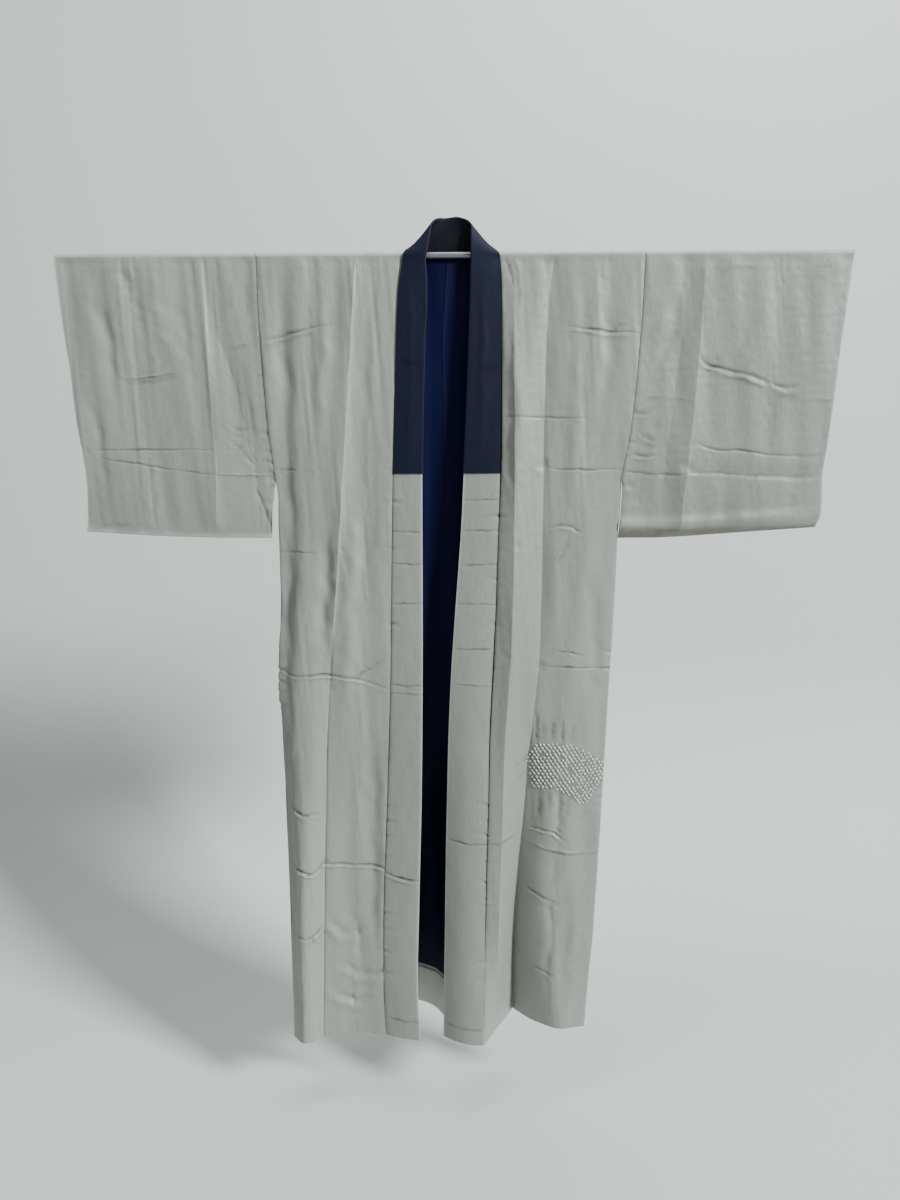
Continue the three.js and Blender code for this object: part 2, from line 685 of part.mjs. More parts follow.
// A skin on the inside of one side of the back, made from the back's own points between two of
// its rows. It starts one column in from the side seam.
function backSkin(side, firstRow, rowCount, trim) {
  const grid = bodyGrid(side);
  const normals = normalsOf(grid, false);
  const start = FRONT_ROWS + NECKLINE.length + firstRow;
  const rows = grid.slice(start, start + rowCount + 1).map((row) => row.slice(1));
  const facing = normals.slice(start, start + rowCount + 1).map((row) => row.slice(1));
  rows[rowCount] = rows[rowCount].map((p, j) => p.clone().lerp(rows[rowCount - 1][j], trim));
  rows.forEach((row) => {
    const e = row.length - 1;
    row[e] = row[e].clone().lerp(row[e - 1], LINING_CENTRE_TRIM);
  });
  const towardsFront = facing[0][0].y < 0 ? 1 : -1;
  const near = towardsFront * (CLOTH / 2 + LAYER_GAP);
  const far = near + towardsFront * LINING_CLOTH;
  return wallBetween(offset(rows, facing, near), offset(rows, facing, far));
}

function rod() {
  const length = ROD_END_LEFT - ROD_END_RIGHT;
  const geometry = new THREE.CylinderGeometry(ROD_RADIUS, ROD_RADIUS, length, ROD_SIDES);
  geometry.rotateZ(Math.PI / 2);
  geometry.translate((ROD_END_LEFT + ROD_END_RIGHT) / 2, 0, 0);
  return geometry;
}

function inside(outline, x, z) {
  let hit = false;
  outline.forEach(([ax, az], i) => {
    const [bx, bz] = outline[(i + 1) % outline.length];
    const crosses = az > z !== bz > z && x < ax + ((bx - ax) * (z - az)) / (bz - az);
    if (crosses) hit = !hit;
  });
  return hit;
}

// Places of the knots on the wearer's left front, in slanting rows inside the patch's outline
function knotPlaces() {
  const { centre, rowsEachWay, pitch, slant } = KNOTS;
  const places = [];
  count(-rowsEachWay, rowsEachWay).forEach((row) => {
    count(-rowsEachWay, rowsEachWay).forEach((i) => {
      const along = (i + (row % 2) / 2) * pitch;
      const across = row * pitch * KNOTS.rowShare;
      const x = centre.x + along * Math.cos(slant) - across * Math.sin(slant);
      const z = centre.z + along * Math.sin(slant) + across * Math.cos(slant);
      if (inside(KNOTS.outline, x, z)) places.push({ x, z });
    });
  });
  return places;
}

const wasm = await Module();
wasm.setup();

function solid(geometry) {
  const bare = new THREE.BufferGeometry();
  bare.setAttribute("position", geometry.getAttribute("position"));
  if (geometry.getIndex()) bare.setIndex(geometry.getIndex());
  const merged = mergeVertices(bare, MERGE_DISTANCE);
  return new wasm.Manifold(
    new wasm.Mesh({
      numProp: 3,
      vertProperties: merged.getAttribute("position").array,
      triVerts: new Uint32Array(merged.getIndex().array),
    }),
  );
}

// The mesh of a joined solid
function geometryOf(manifold) {
  const mesh = manifold.getMesh();
  const geometry = new THREE.BufferGeometry();
  geometry.setAttribute("position", new THREE.BufferAttribute(mesh.vertProperties, 3));
  geometry.setIndex(new THREE.BufferAttribute(mesh.triVerts, 1));
  return geometry;
}

// A small pyramid that stands on the cloth at a place, with its base sunk into the cloth
function knot(place, facing) {
  const tall = KNOTS.height + KNOTS.sink;
  const pyramid = new THREE.ConeGeometry(KNOTS.base / 2, tall, KNOTS.sides);
  const turn = new THREE.Quaternion().setFromUnitVectors(point(0, 1, 0), facing);
  const middle = place.clone().addScaledVector(facing, tall / 2 - KNOTS.sink);
  pyramid.applyQuaternion(turn);
  pyramid.translate(middle.x, middle.y, middle.z);
  return pyramid;
}

// A front of the body with the tie-dyed knots raised from its outer face
function withKnots(front) {
  const caster = new THREE.Raycaster();
  const mesh = new THREE.Mesh(front, new THREE.MeshBasicMaterial({ side: THREE.DoubleSide }));
  const knots = knotPlaces().map(({ x, z }) => {
    caster.set(point(x, KNOTS.seenFrom, z), point(0, 1, 0));
    const hit = caster.intersectObject(mesh)[0];
    return solid(knot(hit.point, hit.face.normal));
  });
  return geometryOf(wasm.Manifold.union([solid(front), ...knots]));
}

const kimono = new THREE.Group();

function add(name, geometry, finish) {
  geometry.computeVertexNormals();
  const mesh = new THREE.Mesh(geometry, new THREE.MeshStandardMaterial(finish));
  mesh.name = name;
  kimono.add(mesh);
}

add("rod", rod(), PALE_METAL);
["front", "back"].forEach((half) => {
  add("body_right_" + half, bodyHalf("right", half), CELADON);
  add("sleeve_right_" + half, sleeveHalf(RIGHT_SLEEVE, false, half), CELADON);
  add("sleeve_left_" + half, sleeveHalf(LEFT_SLEEVE, true, half), CELADON);
});
add("body_left_front", withKnots(bodyHalf("left", "front")), CELADON);
add("body_left_back", bodyHalf("left", "back"), CELADON);
["right", "left"].forEach((side) => {
  add("collar_" + side, bandFront(collarGrid(), COLLAR_CLOTH, side), CELADON);
  add("collar_neck_" + side, bandNeck(collarGrid(), COLLAR_CLOTH, side), CELADON);
  const leafTurn = COLLAR_COLUMNS.length + 1;
  add("collar_cover_" + side, bandFront(coverGrid(), COVER_CLOTH, side, leafTurn), NAVY);
  add("cover_neck_" + side, bandNeck(coverGrid(), COVER_CLOTH, side, leafTurn), NAVY);
  add("lining_" + side, backSkin(side, 0, LINING_ROWS, LINING_TRIM), LINING_NAVY);
  add("hem_facing_" + side, backSkin(side, LINING_ROWS, FACING_ROWS, 0), CELADON);
});

export default kimono;
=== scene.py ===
"""A full-length kimono that hangs open and flat on a thin rod run through its sleeves.

The tables are in millimetres and Blender gets metres. +Z is up, the front faces -Y, and +X is
the wearer's left. Each piece of cloth is a thin shell on a surface between guide lines, and its
creases, puckers and soft waves raise or sink that surface along its normals.
"""
import math
from collections import namedtuple
from functools import partial

import bpy
import numpy as np
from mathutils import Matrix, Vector


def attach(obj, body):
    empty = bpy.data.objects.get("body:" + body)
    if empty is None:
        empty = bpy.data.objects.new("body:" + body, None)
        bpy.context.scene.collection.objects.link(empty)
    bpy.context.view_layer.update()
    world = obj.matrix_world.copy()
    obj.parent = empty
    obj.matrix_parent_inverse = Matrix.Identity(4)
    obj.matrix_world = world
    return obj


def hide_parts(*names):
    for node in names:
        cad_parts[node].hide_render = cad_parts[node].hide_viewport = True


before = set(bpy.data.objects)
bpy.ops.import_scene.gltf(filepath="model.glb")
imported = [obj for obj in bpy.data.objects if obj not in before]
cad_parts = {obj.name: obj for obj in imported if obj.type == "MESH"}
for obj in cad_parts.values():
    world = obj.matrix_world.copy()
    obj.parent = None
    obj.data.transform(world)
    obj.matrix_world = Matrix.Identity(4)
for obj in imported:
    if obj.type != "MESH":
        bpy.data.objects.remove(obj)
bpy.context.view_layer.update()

MM = 0.001

# Sizes that the frame has too
ROD_RADIUS = 5.0
CLOTH_IN_FRAME = 1.2
LAYER_GAP = 0.3
SEAM_GAP = 0.8
FOLD_RADIUS = ROD_RADIUS + LAYER_GAP + CLOTH_IN_FRAME / 2
HEM = -1447.0
ARMHOLE_END = -381.0
SIDE_SEAM_GAP = 2.2
COVER_LENGTH = 372.0
FACING_HEIGHT = 88.0
COLLAR_TOP = -12.0

# Sizes of the cloth shown
SILK = 0.8
LINING_SILK = 0.36
COVER_SILK = 0.7
COVER_OFFSET = 1.6
COVER_FOLD = 1.4
LINING_OFFSET = {"below": 1.3, "at_rod": 0.62, "from": -5.0, "to": -16.0}


def guide(rounded, rows):
    """A seam, fold or edge: rows of z, x and y from the top down. A rounded one is a crest or dip."""
    z, x, y = np.array(rows, float).T
    return {"round": rounded, "z": z, "x": x, "y": y}


LEFT_FRONT = {
    "side": guide(False, [
        (0, 338, -6), (-115, 333, -8), (-220, 326, -8), (-300, 318, -6), (-381, 305, -3),
        (-400, 305.6, -2.4), (-440, 304.4, -2), (-489, 301, -2), (-560, 299, -1.5),
        (-715, 293, 0), (-865, 287, -1), (-1015, 280, -1), (-1245, 271, 3),
        (-1345, 264, 7), (-1447, 258, 12),
    ]),
    "panel": guide(True, [
        (0, 262, -6), (-200, 245, -13), (-400, 232, -14), (-600, 224, -15), (-850, 208, -11),
        (-1100, 194, -9), (-1300, 194, -4), (-1447, 208, 2),
    ]),
    "crease": guide(False, [
        (0, 181, -6), (-70, 173, -8), (-130, 169, -9), (-275, 166, -10), (-475, 164.5, -12),
        (-600, 163, -13), (-715, 160, -12), (-850, 148, -4), (-1070, 132, 18), (-1190, 125, 32),
        (-1300, 120.5, 45), (-1447, 121, 62),
    ]),
    "crest": guide(False, [
        (0, 112, -6), (-130, 112, -17), (-275, 113, -24), (-475, 113, -29), (-600, 111, -33),
        (-715, 107, -35), (-850, 98, -36), (-1070, 91, -42), (-1300, 85, -36), (-1447, 83, -4),
    ]),
    "seam": guide(False, [
        (0, 87, -6), (-37, 90.3, -9), (-211, 90.4, -11), (-370, 89, -14), (-475, 86, -17),
        (-600, 82, -20), (-723, 76, -24), (-850, 70, -29), (-1037, 67, -36), (-1186, 62.6, -41),
        (-1340, 61, -45), (-1447, 57, -48),
    ]),
}
RIGHT_FRONT = {
    "side": guide(False, [
        (0, -331, -6), (-145, -328.5, -8), (-240, -323.6, -8), (-300, -319.7, -6),
        (-381, -311, -3), (-417, -307, -3), (-600, -308.5, -2), (-684, -313.5, -3),
        (-770, -317.4, -4), (-813, -313.4, -4), (-1010, -311, -6), (-1164, -309.5, -8),
        (-1300, -309, -11), (-1447, -308, -14),
    ]),
    "roll": guide(True, [
        (0, -240, -6), (-200, -246, -11), (-354, -252, -13), (-600, -262, -18),
        (-850, -270, -25), (-1100, -276, -32), (-1300, -280, -37), (-1447, -283, -40),
    ]),
    "crease": guide(False, [
        (0, -160, -6), (-60, -164, -11), (-354, -187, -15), (-539, -202, -16),
        (-680, -215, -15), (-850, -228, -14), (-985, -234, -14), (-1222, -243, -14),
        (-1447, -250, -15),
    ]),
    "panel": guide(True, [
        (0, -120, -6), (-200, -133, -9), (-354, -142, -10), (-680, -160, -11), (-985, -175, -9),
        (-1222, -185, -7), (-1447, -190, -5),
    ]),
    "seam": guide(False, [
        (0, -78, -6), (-58, -87.5, -8.5), (-210, -94.6, -10), (-372, -100.7, -11),
        (-597, -106.8, -12), (-722, -109.7, -12), (-850, -114.5, -12), (-1000, -121, -12),
        (-1110, -126.5, -12), (-1223, -131, -12), (-1338, -131.6, -12), (-1447, -129, -13),
    ]),
}
BACK = {
    "rightQuarter": guide(True, [
        (0, -215, 6), (-200, -212, 10), (-600, -205, 21), (-850, -200, 31), (-1100, -196, 45),
        (-1300, -193, 58), (-1447, -190, 68),
    ]),
    "rightInner": guide(True, [
        (0, -110, 6), (-200, -106, 11), (-400, -100, 18), (-600, -96, 27), (-850, -92, 43),
        (-1100, -88, 63), (-1300, -84, 84), (-1447, -80, 99),
    ]),
    "centre": guide(False, [
        (0, 0, 6), (-140, -10, 12), (-265, -8, 14), (-390, -12, 18), (-600, -18, 25),
        (-715, -21, 30), (-965, -26, 43), (-1300, -31, 64), (-1447, -33, 74),
    ]),
    "leftCrest": guide(True, [
        (0, 30, 6), (-200, 22, 11), (-400, 16, 15), (-600, 12, 19), (-850, 10, 23),
        (-1100, 8, 24), (-1300, 6, 24), (-1447, 5, 23),
    ]),
    "leftInner": guide(True, [
        (0, 90, 6), (-200, 92, 12), (-400, 98, 18), (-600, 106, 27), (-850, 116, 43),
        (-1100, 122, 62), (-1300, 124, 79), (-1447, 124, 92),
    ]),
    "leftQuarter": guide(True, [
        (0, 230, 6), (-200, 226, 10), (-600, 218, 19), (-850, 212, 27), (-1100, 206, 36),
        (-1300, 202, 45), (-1447, 200, 50),
    ]),
}
HEM_RISE = {"crease": 5.0, "panel": 1.0, "centre": 2.0, "power": 6}
LEFT_COLLAR = {
    "free": guide(False, [
        (-12, 38.5, -12), (-58, 37, -12), (-143, 34.2, -12.5), (-245, 30, -13),
        (-372, 24.2, -14.5),
        (-474, 19, -15), (-618, 8.3, -16), (-723, 0.8, -17), (-851, -5.3, -18),
        (-1037, -10.6, -18), (-1186, -13.5, -18), (-1300, -15.7, -18), (-1447, -18.5, -17),
    ]),
    "bow": guide(False, [
        (-12, 0, 0.5), (-372, 0, 1), (-600, 0, 3), (-850, 0, 5), (-1100, 0, 7), (-1447, 0, 9),
    ]),
}
RIGHT_COLLAR = {
    "free": guide(False, [
        (-12, -41, -12), (-52, -38.5, -12.5), (-143, -42.5, -13), (-245, -46.2, -14),
        (-373, -48.8, -16), (-597, -50.3, -19), (-765, -52, -22), (-963, -55.5, -25),
        (-1186, -62.4, -29), (-1338, -66.3, -32), (-1447, -61.5, -33),
    ]),
    "bow": guide(False, [(-12, 0, 0.5), (-600, 0, 1), (-1447, 0, 2)]),
}

# The collar round the neck, from the right front over the back to the left: seam, free edge
NECK = [
    ((-77, -9, 1), (-37.5, -11.5, 9)),
    ((-72, -3.5, 8.6), (-33.5, -9, 29)),
    ((-66, 2, 10), (-30.5, -4, 49)),
    ((-60, 7, 7.5), (-24.5, 2, 58)),
    ((-47, 9.4, 3), (-17.5, 6.5, 61.8)),
    ((-26, 9.8, 0), (-7, 9.6, 61.2)),
    ((0, 9.8, -1), (4, 10.4, 63)),
    ((30, 9.8, 0), (13, 9.6, 64)),
    ((53, 9.4, 3), (22, 6.5, 62)),
    ((67, 7, 7.5), (31, 2, 58)),
    ((73.5, 2, 10), (39, -4, 49)),
    ((78, -3.5, 8.6), (38.5, -9, 30)),
    ((84, -9, 1), (38, -11.5, 10)),
]
NECK_ROUNDING = 0.25
NECKLINE_TURNS = [-90, -60, -30, 0, 30, 60, 90]
NECKLINE = {
    "left": [87, 85.5, 83, 80, 75, 55, 0],
    "right": [-78, -76, -73.5, -70.5, -67, -49, 0],
}

RIGHT_SLEEVE = {
    "cuff": guide(False, [
        (0, -678, -6), (-115, -670.5, -6), (-190, -662, -6), (-278, -656, -5),
        (-338, -648.5, -5), (-388, -646, -4), (-430, -648.5, -3), (-470, -651.5, -1.6),
    ]),
    "wide": guide(True, [
        (0, -560, -6), (-100, -556, -8), (-250, -548, -9), (-400, -540, -8),
        (-480, -536, -1.6),
    ]),
    "crease": guide(False, [
        (0, -424, -6), (-50, -422, -8), (-175, -419, -11), (-372, -412.5, -11), (-440, -416, -7),
        (-480, -417, -1.6),
    ]),
    "ridge": guide(False, [
        (0, -408, -6), (-75, -406, -6.5), (-143, -400, -6), (-209, -377, -5), (-301, -359, -4.5),
        (-364, -348, -4.5), (-480, -334, -1.6),
    ]),
    "inner": guide(False, [
        (0, -331, -6), (-145, -328.5, -8), (-240, -323.6, -8), (-300, -319.7, -6),
        (-381, -311, -3), (-400, -313.6, -2), (-434, -316.6, -1.6), (-482, -320, -1.6),
    ]),
    "bottom": [-470, -478, -482.5, -483, -483],
}
LEFT_SLEEVE = {
    "cuff": guide(False, [
        (0, 696, -6), (-108, 685.5, -6), (-146, 681.5, -6), (-211, 676.5, -6), (-325, 667, -5),
        (-379, 662.5, -4), (-444, 663.5, -3), (-469, 656, -1.6),
    ]),
    "wide": guide(True, [
        (0, 575, -6), (-100, 570, -9), (-250, 560, -10.5), (-400, 546, -9), (-480, 540, -1.6),
    ]),
    "crease": guide(False, [
        (0, 442, -6), (-94, 437.5, -10), (-170, 434, -12.5), (-275, 427, -13.5),
        (-369, 419.5, -12),
        (-480, 411, -1.6),
    ]),
    "ridge": guide(False, [
        (0, 418, -6), (-100, 408, -7), (-200, 398, -7), (-300, 388, -7), (-380, 380, -6),
        (-480, 370, -1.6),
    ]),
    "inner": guide(False, [
        (0, 338, -6), (-115, 333, -8), (-220, 326, -8), (-300, 318, -6), (-381, 305, -3),
        (-400, 306.5, -2), (-440, 305.2, -1.6), (-489, 301.8, -1.6),
    ]),
    "bottom": [-469, -477, -485.5, -487, -487],
}
SLEEVE_GUIDES = ("cuff", "wide", "crease", "ridge", "inner")
SLEEVE_FOLD_DROP = 1.2

# The long pressed creases: where each runs, its height, and how far it fades to either side
Press = namedtuple("Press", "top bottom height left right")
PRESSED = {
    "sleeve_right": [Press(-4, -484, 2.4, 12, 26)],
    "sleeve_left": [Press(-4, -484, 2.0, 24, 12)],
    "body_right": [Press(-14, -650, 3.2, 18, 1.8), Press(-690, HEM - 60, -3.2, 16, 1.5)],
    "body_left": [Press(-10, -800, -2.6, 10, 14), Press(-850, HEM - 60, -1.8, 8, 1.6)],
}
PRESS_FADE = 45.0
# Pressed creases are painted paler along their line: a painted highlight, partly wear.
PRESS_HIGHLIGHT_AND_WEAR = 0.32

# How strongly each piece is streaked from the rod down, and crumpled
STREAKS = {"sleeve_right": 0.85, "body_right": 0.75, "body_left": 0.50, "sleeve_left": 0.12}
CRUMPLE = {"sleeve_right": 0.14, "body_right": 0.14, "body_left": 0.14, "sleeve_left": 0.19}

# Creases, each with its kind, its width and height across the line, and its path of (x, z)
Crease = namedtuple("Crease", "kind width height path")
Dent = namedtuple("Dent", "x z radius depth")


def crease(kind, width, height, *path):
    """A crease of one kind, with the points of its path last."""
    return Crease(kind, width, height, path)


ridge = partial(crease, "ridge")
trough = partial(crease, "trough")
fold = partial(crease, "fold")
ledge = partial(crease, "ledge")

CREASES = {
    "sleeve_right": [
        ridge(3.0, 1.1, (-576, -204), (-539, -204), (-499, -199), (-469, -193)),
        trough(4.0, 0.7, (-570, -213), (-539, -213), (-499, -208), (-474, -202)),
        ridge(3.5, 0.7, (-515, -165), (-514, -180), (-511, -197)),
        trough(3.5, 0.7, (-497, -168), (-500, -193)),
        trough(2.6, 0.9, (-643, -328), (-562, -328), (-483, -328), (-418, -329)),
        trough(2.8, 1.0, (-621, -342), (-536, -355), (-478, -365), (-413, -372)),
        ridge(2.6, 1.0, (-411, -371), (-362, -373), (-318, -373)),
        ridge(2.8, 0.8, (-327, -145), (-356, -150), (-386, -156)),
        trough(11, 1.3, (-624, -14), (-605, -90), (-589, -169), (-585, -330)),
        trough(9, 0.9, (-568, -16), (-550, -57), (-536, -118)),
        ridge(10, 0.9, (-510, -16), (-498, -107), (-480, -178)),
        trough(9, 0.8, (-476, -25), (-460, -124), (-452, -243)),
        trough(7, 0.8, (-640, -210), (-620, -300), (-612, -440)),
        ridge(7, 0.6, (-530, -330), (-520, -400), (-522, -460)),
        ridge(3.0, 0.7, (-648, -453), (-618, -457), (-560, -459)),
        fold(3.5, 1.2, (-392, -279), (-374, -294), (-347, -291)),
        fold(3.5, 1.0, (-385, -312), (-368, -329), (-350, -353)),
        trough(4.5, 1.4, (-346, -396), (-334, -426), (-323, -462)),
        trough(5.0, 0.7, (-362, -180), (-352, -240), (-340, -330)),
        trough(5.5, 0.7, (-352, -20), (-346, -90), (-342, -140)),
        ridge(5.0, 0.6, (-380, -30), (-372, -90), (-362, -140)),
    ],
    "sleeve_left": [
        trough(
            3.8, 1.9, (433, -171), (449, -187), (480, -195), (517, -204), (533, -208), (556, -219),
        ),
        ridge(5.0, 0.9, (440, -190), (480, -205), (520, -214), (556, -229)),
        trough(3.0, 1.2, (471, -190), (464, -172)),
        fold(5.0, 1.0, (561, -219), (584, -227), (607, -224)),
        ridge(5.5, 0.8, (572, -238), (594, -240), (612, -236)),
        ridge(3.0, 0.8, (636, -245), (655, -248), (674, -248)),
        ridge(3.0, 0.5, (447, -26), (500, -24), (566, -21)),
        trough(
            3.6, 1.2, (424, -314), (447, -326), (475, -334), (516, -335), (581, -344), (660, -343),
        ),
        ledge(5.0, 2.2, (418, -372), (491, -375), (583, -381), (663, -381)),
        trough(8.0, 0.9, (404, -10), (390, -119), (370, -174), (359, -240)),
        ridge(7.0, 0.4, (380, -60), (366, -120), (348, -180)),
        ridge(2.6, 0.6, (332, -240), (377, -243), (428, -249)),
        fold(4.0, 1.1, (318, -262), (334, -270), (352, -266)),
        fold(4.0, 1.0, (330, -300), (350, -312), (368, -322)),
        fold(4.5, 1.0, (322, -338), (342, -344), (366, -341)),
        trough(4.0, 1.0, (305, -369), (355, -375), (415, -377)),
        trough(8.0, 0.3, (500, -40), (512, -110), (506, -170)),
        ridge(9.0, 0.3, (600, -20), (606, -110), (618, -200)),
        trough(9.0, 0.3, (560, -230), (566, -290), (560, -330)),
        ridge(7.0, 0.6, (470, -390), (476, -420), (470, -450)),
        trough(7.0, 0.6, (610, -392), (606, -420), (612, -452)),
    ],
    "body_right": [
        trough(3.4, 1.3, (-329, -145), (-274, -130), (-206, -115)),
        ridge(4.0, 0.6, (-320, -152), (-274, -138), (-230, -128)),
        trough(3.0, 0.7, (-308, -364), (-268, -364)),
        trough(3.0, 0.7, (-312, -511), (-274, -510), (-233, -512)),
        fold(3.6, 1.5, (-315, -723), (-287, -734), (-225, -735), (-179, -742), (-110, -762)),
        fold(3.6, 1.1, (-178, -741), (-146, -722), (-117, -706)),
        fold(4.5, 1.2, (-194, -500), (-183, -542), (-175, -584)),
        fold(4.0, 1.5, (-301, -971), (-283, -994), (-246, -997)),
        fold(4.0, 1.9, (-301, -1095), (-274, -1109), (-252, -1110), (-237, -1090)),
        fold(4.0, 1.9, (-242, -1097), (-191, -1102), (-134, -1106), (-124, -1118)),
        fold(4.0, 1.4, (-297, -1234), (-265, -1238), (-238, -1216)),
        trough(3.6, 1.0, (-268, -1238), (-256, -1252)),
        fold(7.0, 1.2, (-232, -1208), (-204, -1243), (-172, -1230)),
        fold(7.0, 1.2, (-210, -1302), (-173, -1325), (-127, -1313)),
        fold(7.0, 1.1, (-236, -1345), (-197, -1377), (-153, -1372)),
        trough(9.0, 1.0, (-196, -1160), (-178, -1270), (-168, -1400)),
        trough(13, 2.2, (-285, -20), (-290, -180), (-286, -380), (-292, -560), (-298, -760)),
        trough(8.0, 1.4, (-298, -700), (-299, -960), (-298, -1200), (-297, -1440)),
        ridge(11, 1.0, (-210, -20), (-218, -170), (-232, -330)),
        trough(9.0, 0.9, (-130, -40), (-150, -220), (-152, -420), (-160, -620)),
        ridge(9.0, 0.8, (-120, -250), (-128, -420), (-132, -600)),
        trough(9.0, 0.8, (-150, -780), (-158, -900), (-160, -1060)),
        trough(12, 2.2, (-208, -420), (-224, -560), (-231, -660), (-238, -780)),
        ridge(12, 2.0, (-166, -420), (-180, -560), (-186, -660), (-190, -780)),
        trough(9.0, 1.3, (-142, -860), (-146, -1020), (-150, -1300)),
        ridge(6.0, 0.9, (-300, -800), (-292, -860), (-296, -930)),
    ],
    "body_left": [
        trough(3.0, 1.8, (98, -4), (104, -27), (110, -52)),
        ridge(5.0, 1.0, (116, -8), (122, -40), (124, -90)),
        trough(8.0, 1.0, (104, -60), (106, -245), (108, -440)),
        trough(3.2, 1.3, (203, -121), (278, -130), (325, -132)),
        trough(3.0, 1.0, (299, -117), (283, -129)),
        ridge(3.0, 0.7, (210, -128), (278, -138), (318, -139)),
        trough(3.0, 0.8, (89, -274), (168, -276), (242, -278)),
        trough(3.0, 1.1, (167, -365), (240, -367), (308, -366)),
        fold(4.0, 1.1, (176, -468), (206, -465), (232, -477)),
        fold(4.0, 1.0, (210, -490), (201, -512), (190, -532)),
        trough(3.2, 1.0, (183, -691), (218, -696), (252, -705)),
        trough(3.2, 1.2, (162, -720), (227, -724), (294, -727)),
        trough(4.6, 1.5, (158, -866), (157, -810)),
        trough(4.0, 1.0, (170, -866), (171, -826)),
        trough(5.0, 1.4, (186, -866), (187, -816)),
        trough(4.6, 1.2, (204, -868), (205, -822)),
        trough(4.6, 0.9, (222, -870), (224, -832)),
        trough(5.0, 1.3, (166, -950), (164, -1020)),
        trough(4.6, 0.8, (182, -950), (182, -996)),
        trough(6.5, 1.4, (200, -956), (199, -1046)),
        trough(4.6, 0.8, (216, -968), (218, -1010)),
        trough(4.6, 0.8, (248, -986), (246, -1020)),
        fold(3.2, 1.0, (132, -902), (118, -908)),
        fold(3.2, 0.9, (142, -920), (122, -938)),
        fold(3.6, 1.4, (149, -1034), (191, -1041), (212, -1061)),
        ridge(4.0, 1.5, (136, -1063), (163, -1069), (210, -1079), (280, -1083)),
        fold(4.0, 1.2, (136, -1150), (157, -1165), (208, -1189)),
        fold(4.5, 1.0, (157, -1320), (195, -1335)),
        trough(4.0, 1.4, (66, -1052), (96, -1049), (127, -1047)),
        trough(10, 1.0, (270, -20), (276, -180), (262, -360)),
        ridge(10, 0.9, (222, -20), (224, -200), (214, -420)),
        trough(10, 1.0, (250, -560), (262, -690), (252, -800)),
        trough(9.0, 1.1, (190, -1090), (188, -1230), (178, -1420)),
        ridge(9.0, 0.9, (236, -1100), (230, -1250), (226, -1430)),
    ],
}
BACK_CREASES = {
    "sleeve_right": [
        trough(3.0, 1.0, (-640, -240), (-560, -244), (-470, -238)),
        fold(3.6, 1.1, (-600, -372), (-520, -380), (-430, -374)),
        trough(10, 1.2, (-600, -20), (-584, -200), (-590, -400)),
        ridge(9.0, 0.9, (-500, -30), (-492, -180), (-500, -330)),
        trough(8.0, 0.9, (-370, -40), (-362, -200), (-350, -340)),
    ],
    "sleeve_left": [
        trough(3.0, 1.1, (350, -228), (450, -240), (560, -234)),
        fold(3.6, 1.2, (420, -374), (540, -380), (650, -378)),
        trough(10, 1.2, (610, -20), (600, -180), (606, -360)),
        ridge(9.0, 0.9, (520, -30), (528, -190), (520, -320)),
        trough(8.0, 0.9, (376, -40), (368, -180), (352, -330)),
    ],
    "body_right": [
        trough(3.2, 1.2, (-320, -132), (-220, -126), (-110, -131), (-30, -128)),
        trough(3.2, 1.0, (-300, -366), (-200, -370), (-60, -367)),
        fold(4.0, 1.5, (-310, -730), (-200, -742), (-90, -738), (-30, -744)),
        fold(4.2, 1.7, (-300, -1096), (-190, -1106), (-40, -1101)),
        trough(3.6, 1.1, (-290, -980), (-220, -990), (-170, -986)),
        trough(13, 1.8, (-262, -30), (-258, -400), (-262, -800), (-256, -1300)),
        ridge(12, 1.5, (-160, -40), (-152, -420), (-148, -860), (-140, -1380)),
        trough(11, 1.4, (-60, -60), (-54, -460), (-58, -900), (-56, -1380)),
        fold(7.0, 1.2, (-240, -1290), (-190, -1312), (-120, -1300)),
    ],
    "body_left": [
        trough(3.2, 1.2, (30, -130), (120, -134), (220, -128), (322, -133)),
        trough(3.2, 1.0, (50, -368), (180, -364), (300, -367)),
        fold(4.0, 1.5, (20, -726), (140, -735), (290, -729)),
        fold(4.2, 1.6, (10, -1080), (130, -1092), (275, -1085)),
        trough(3.6, 1.1, (150, -1170), (210, -1180), (262, -1176)),
        trough(13, 1.8, (262, -30), (256, -400), (250, -800), (232, -1300)),
        ridge(12, 1.5, (170, -40), (166, -420), (160, -860), (158, -1380)),
        trough(11, 1.4, (70, -60), (72, -460), (70, -900), (66, -1380)),
        fold(7.0, 1.2, (110, -1300), (170, -1322), (230, -1310)),
    ],
}
DENTS = {
    "sleeve_right": [Dent(-318, -378, 10, 2.4), Dent(-352, -345, 8, 0.9), Dent(-330, -445, 8, 1.0)],
    "sleeve_left": [
        Dent(420, -363, 9, 2.0), Dent(348, -329, 8, 1.4), Dent(361, -293, 8, 1.3),
        Dent(321, -394, 7, 1.3), Dent(330, -420, 8, 1.1), Dent(330, -284, 8, 1.0),
    ],
    "body_right": [
        Dent(-235, -634, 8, 0.9), Dent(-202, -551, 8, 0.9), Dent(-196, -669, 8, 0.9),
        Dent(-218, -762, 8, 1.0), Dent(-204, -857, 8, 0.8), Dent(-232, -700, 6, 0.8),
    ],
    "body_left": [
        Dent(166, -358, 9, 1.8), Dent(161, -721, 9, 1.8), Dent(118, -500, 8, 0.8),
        Dent(100, -700, 8, 0.8), Dent(110, -830, 8, 0.9),
    ],
}
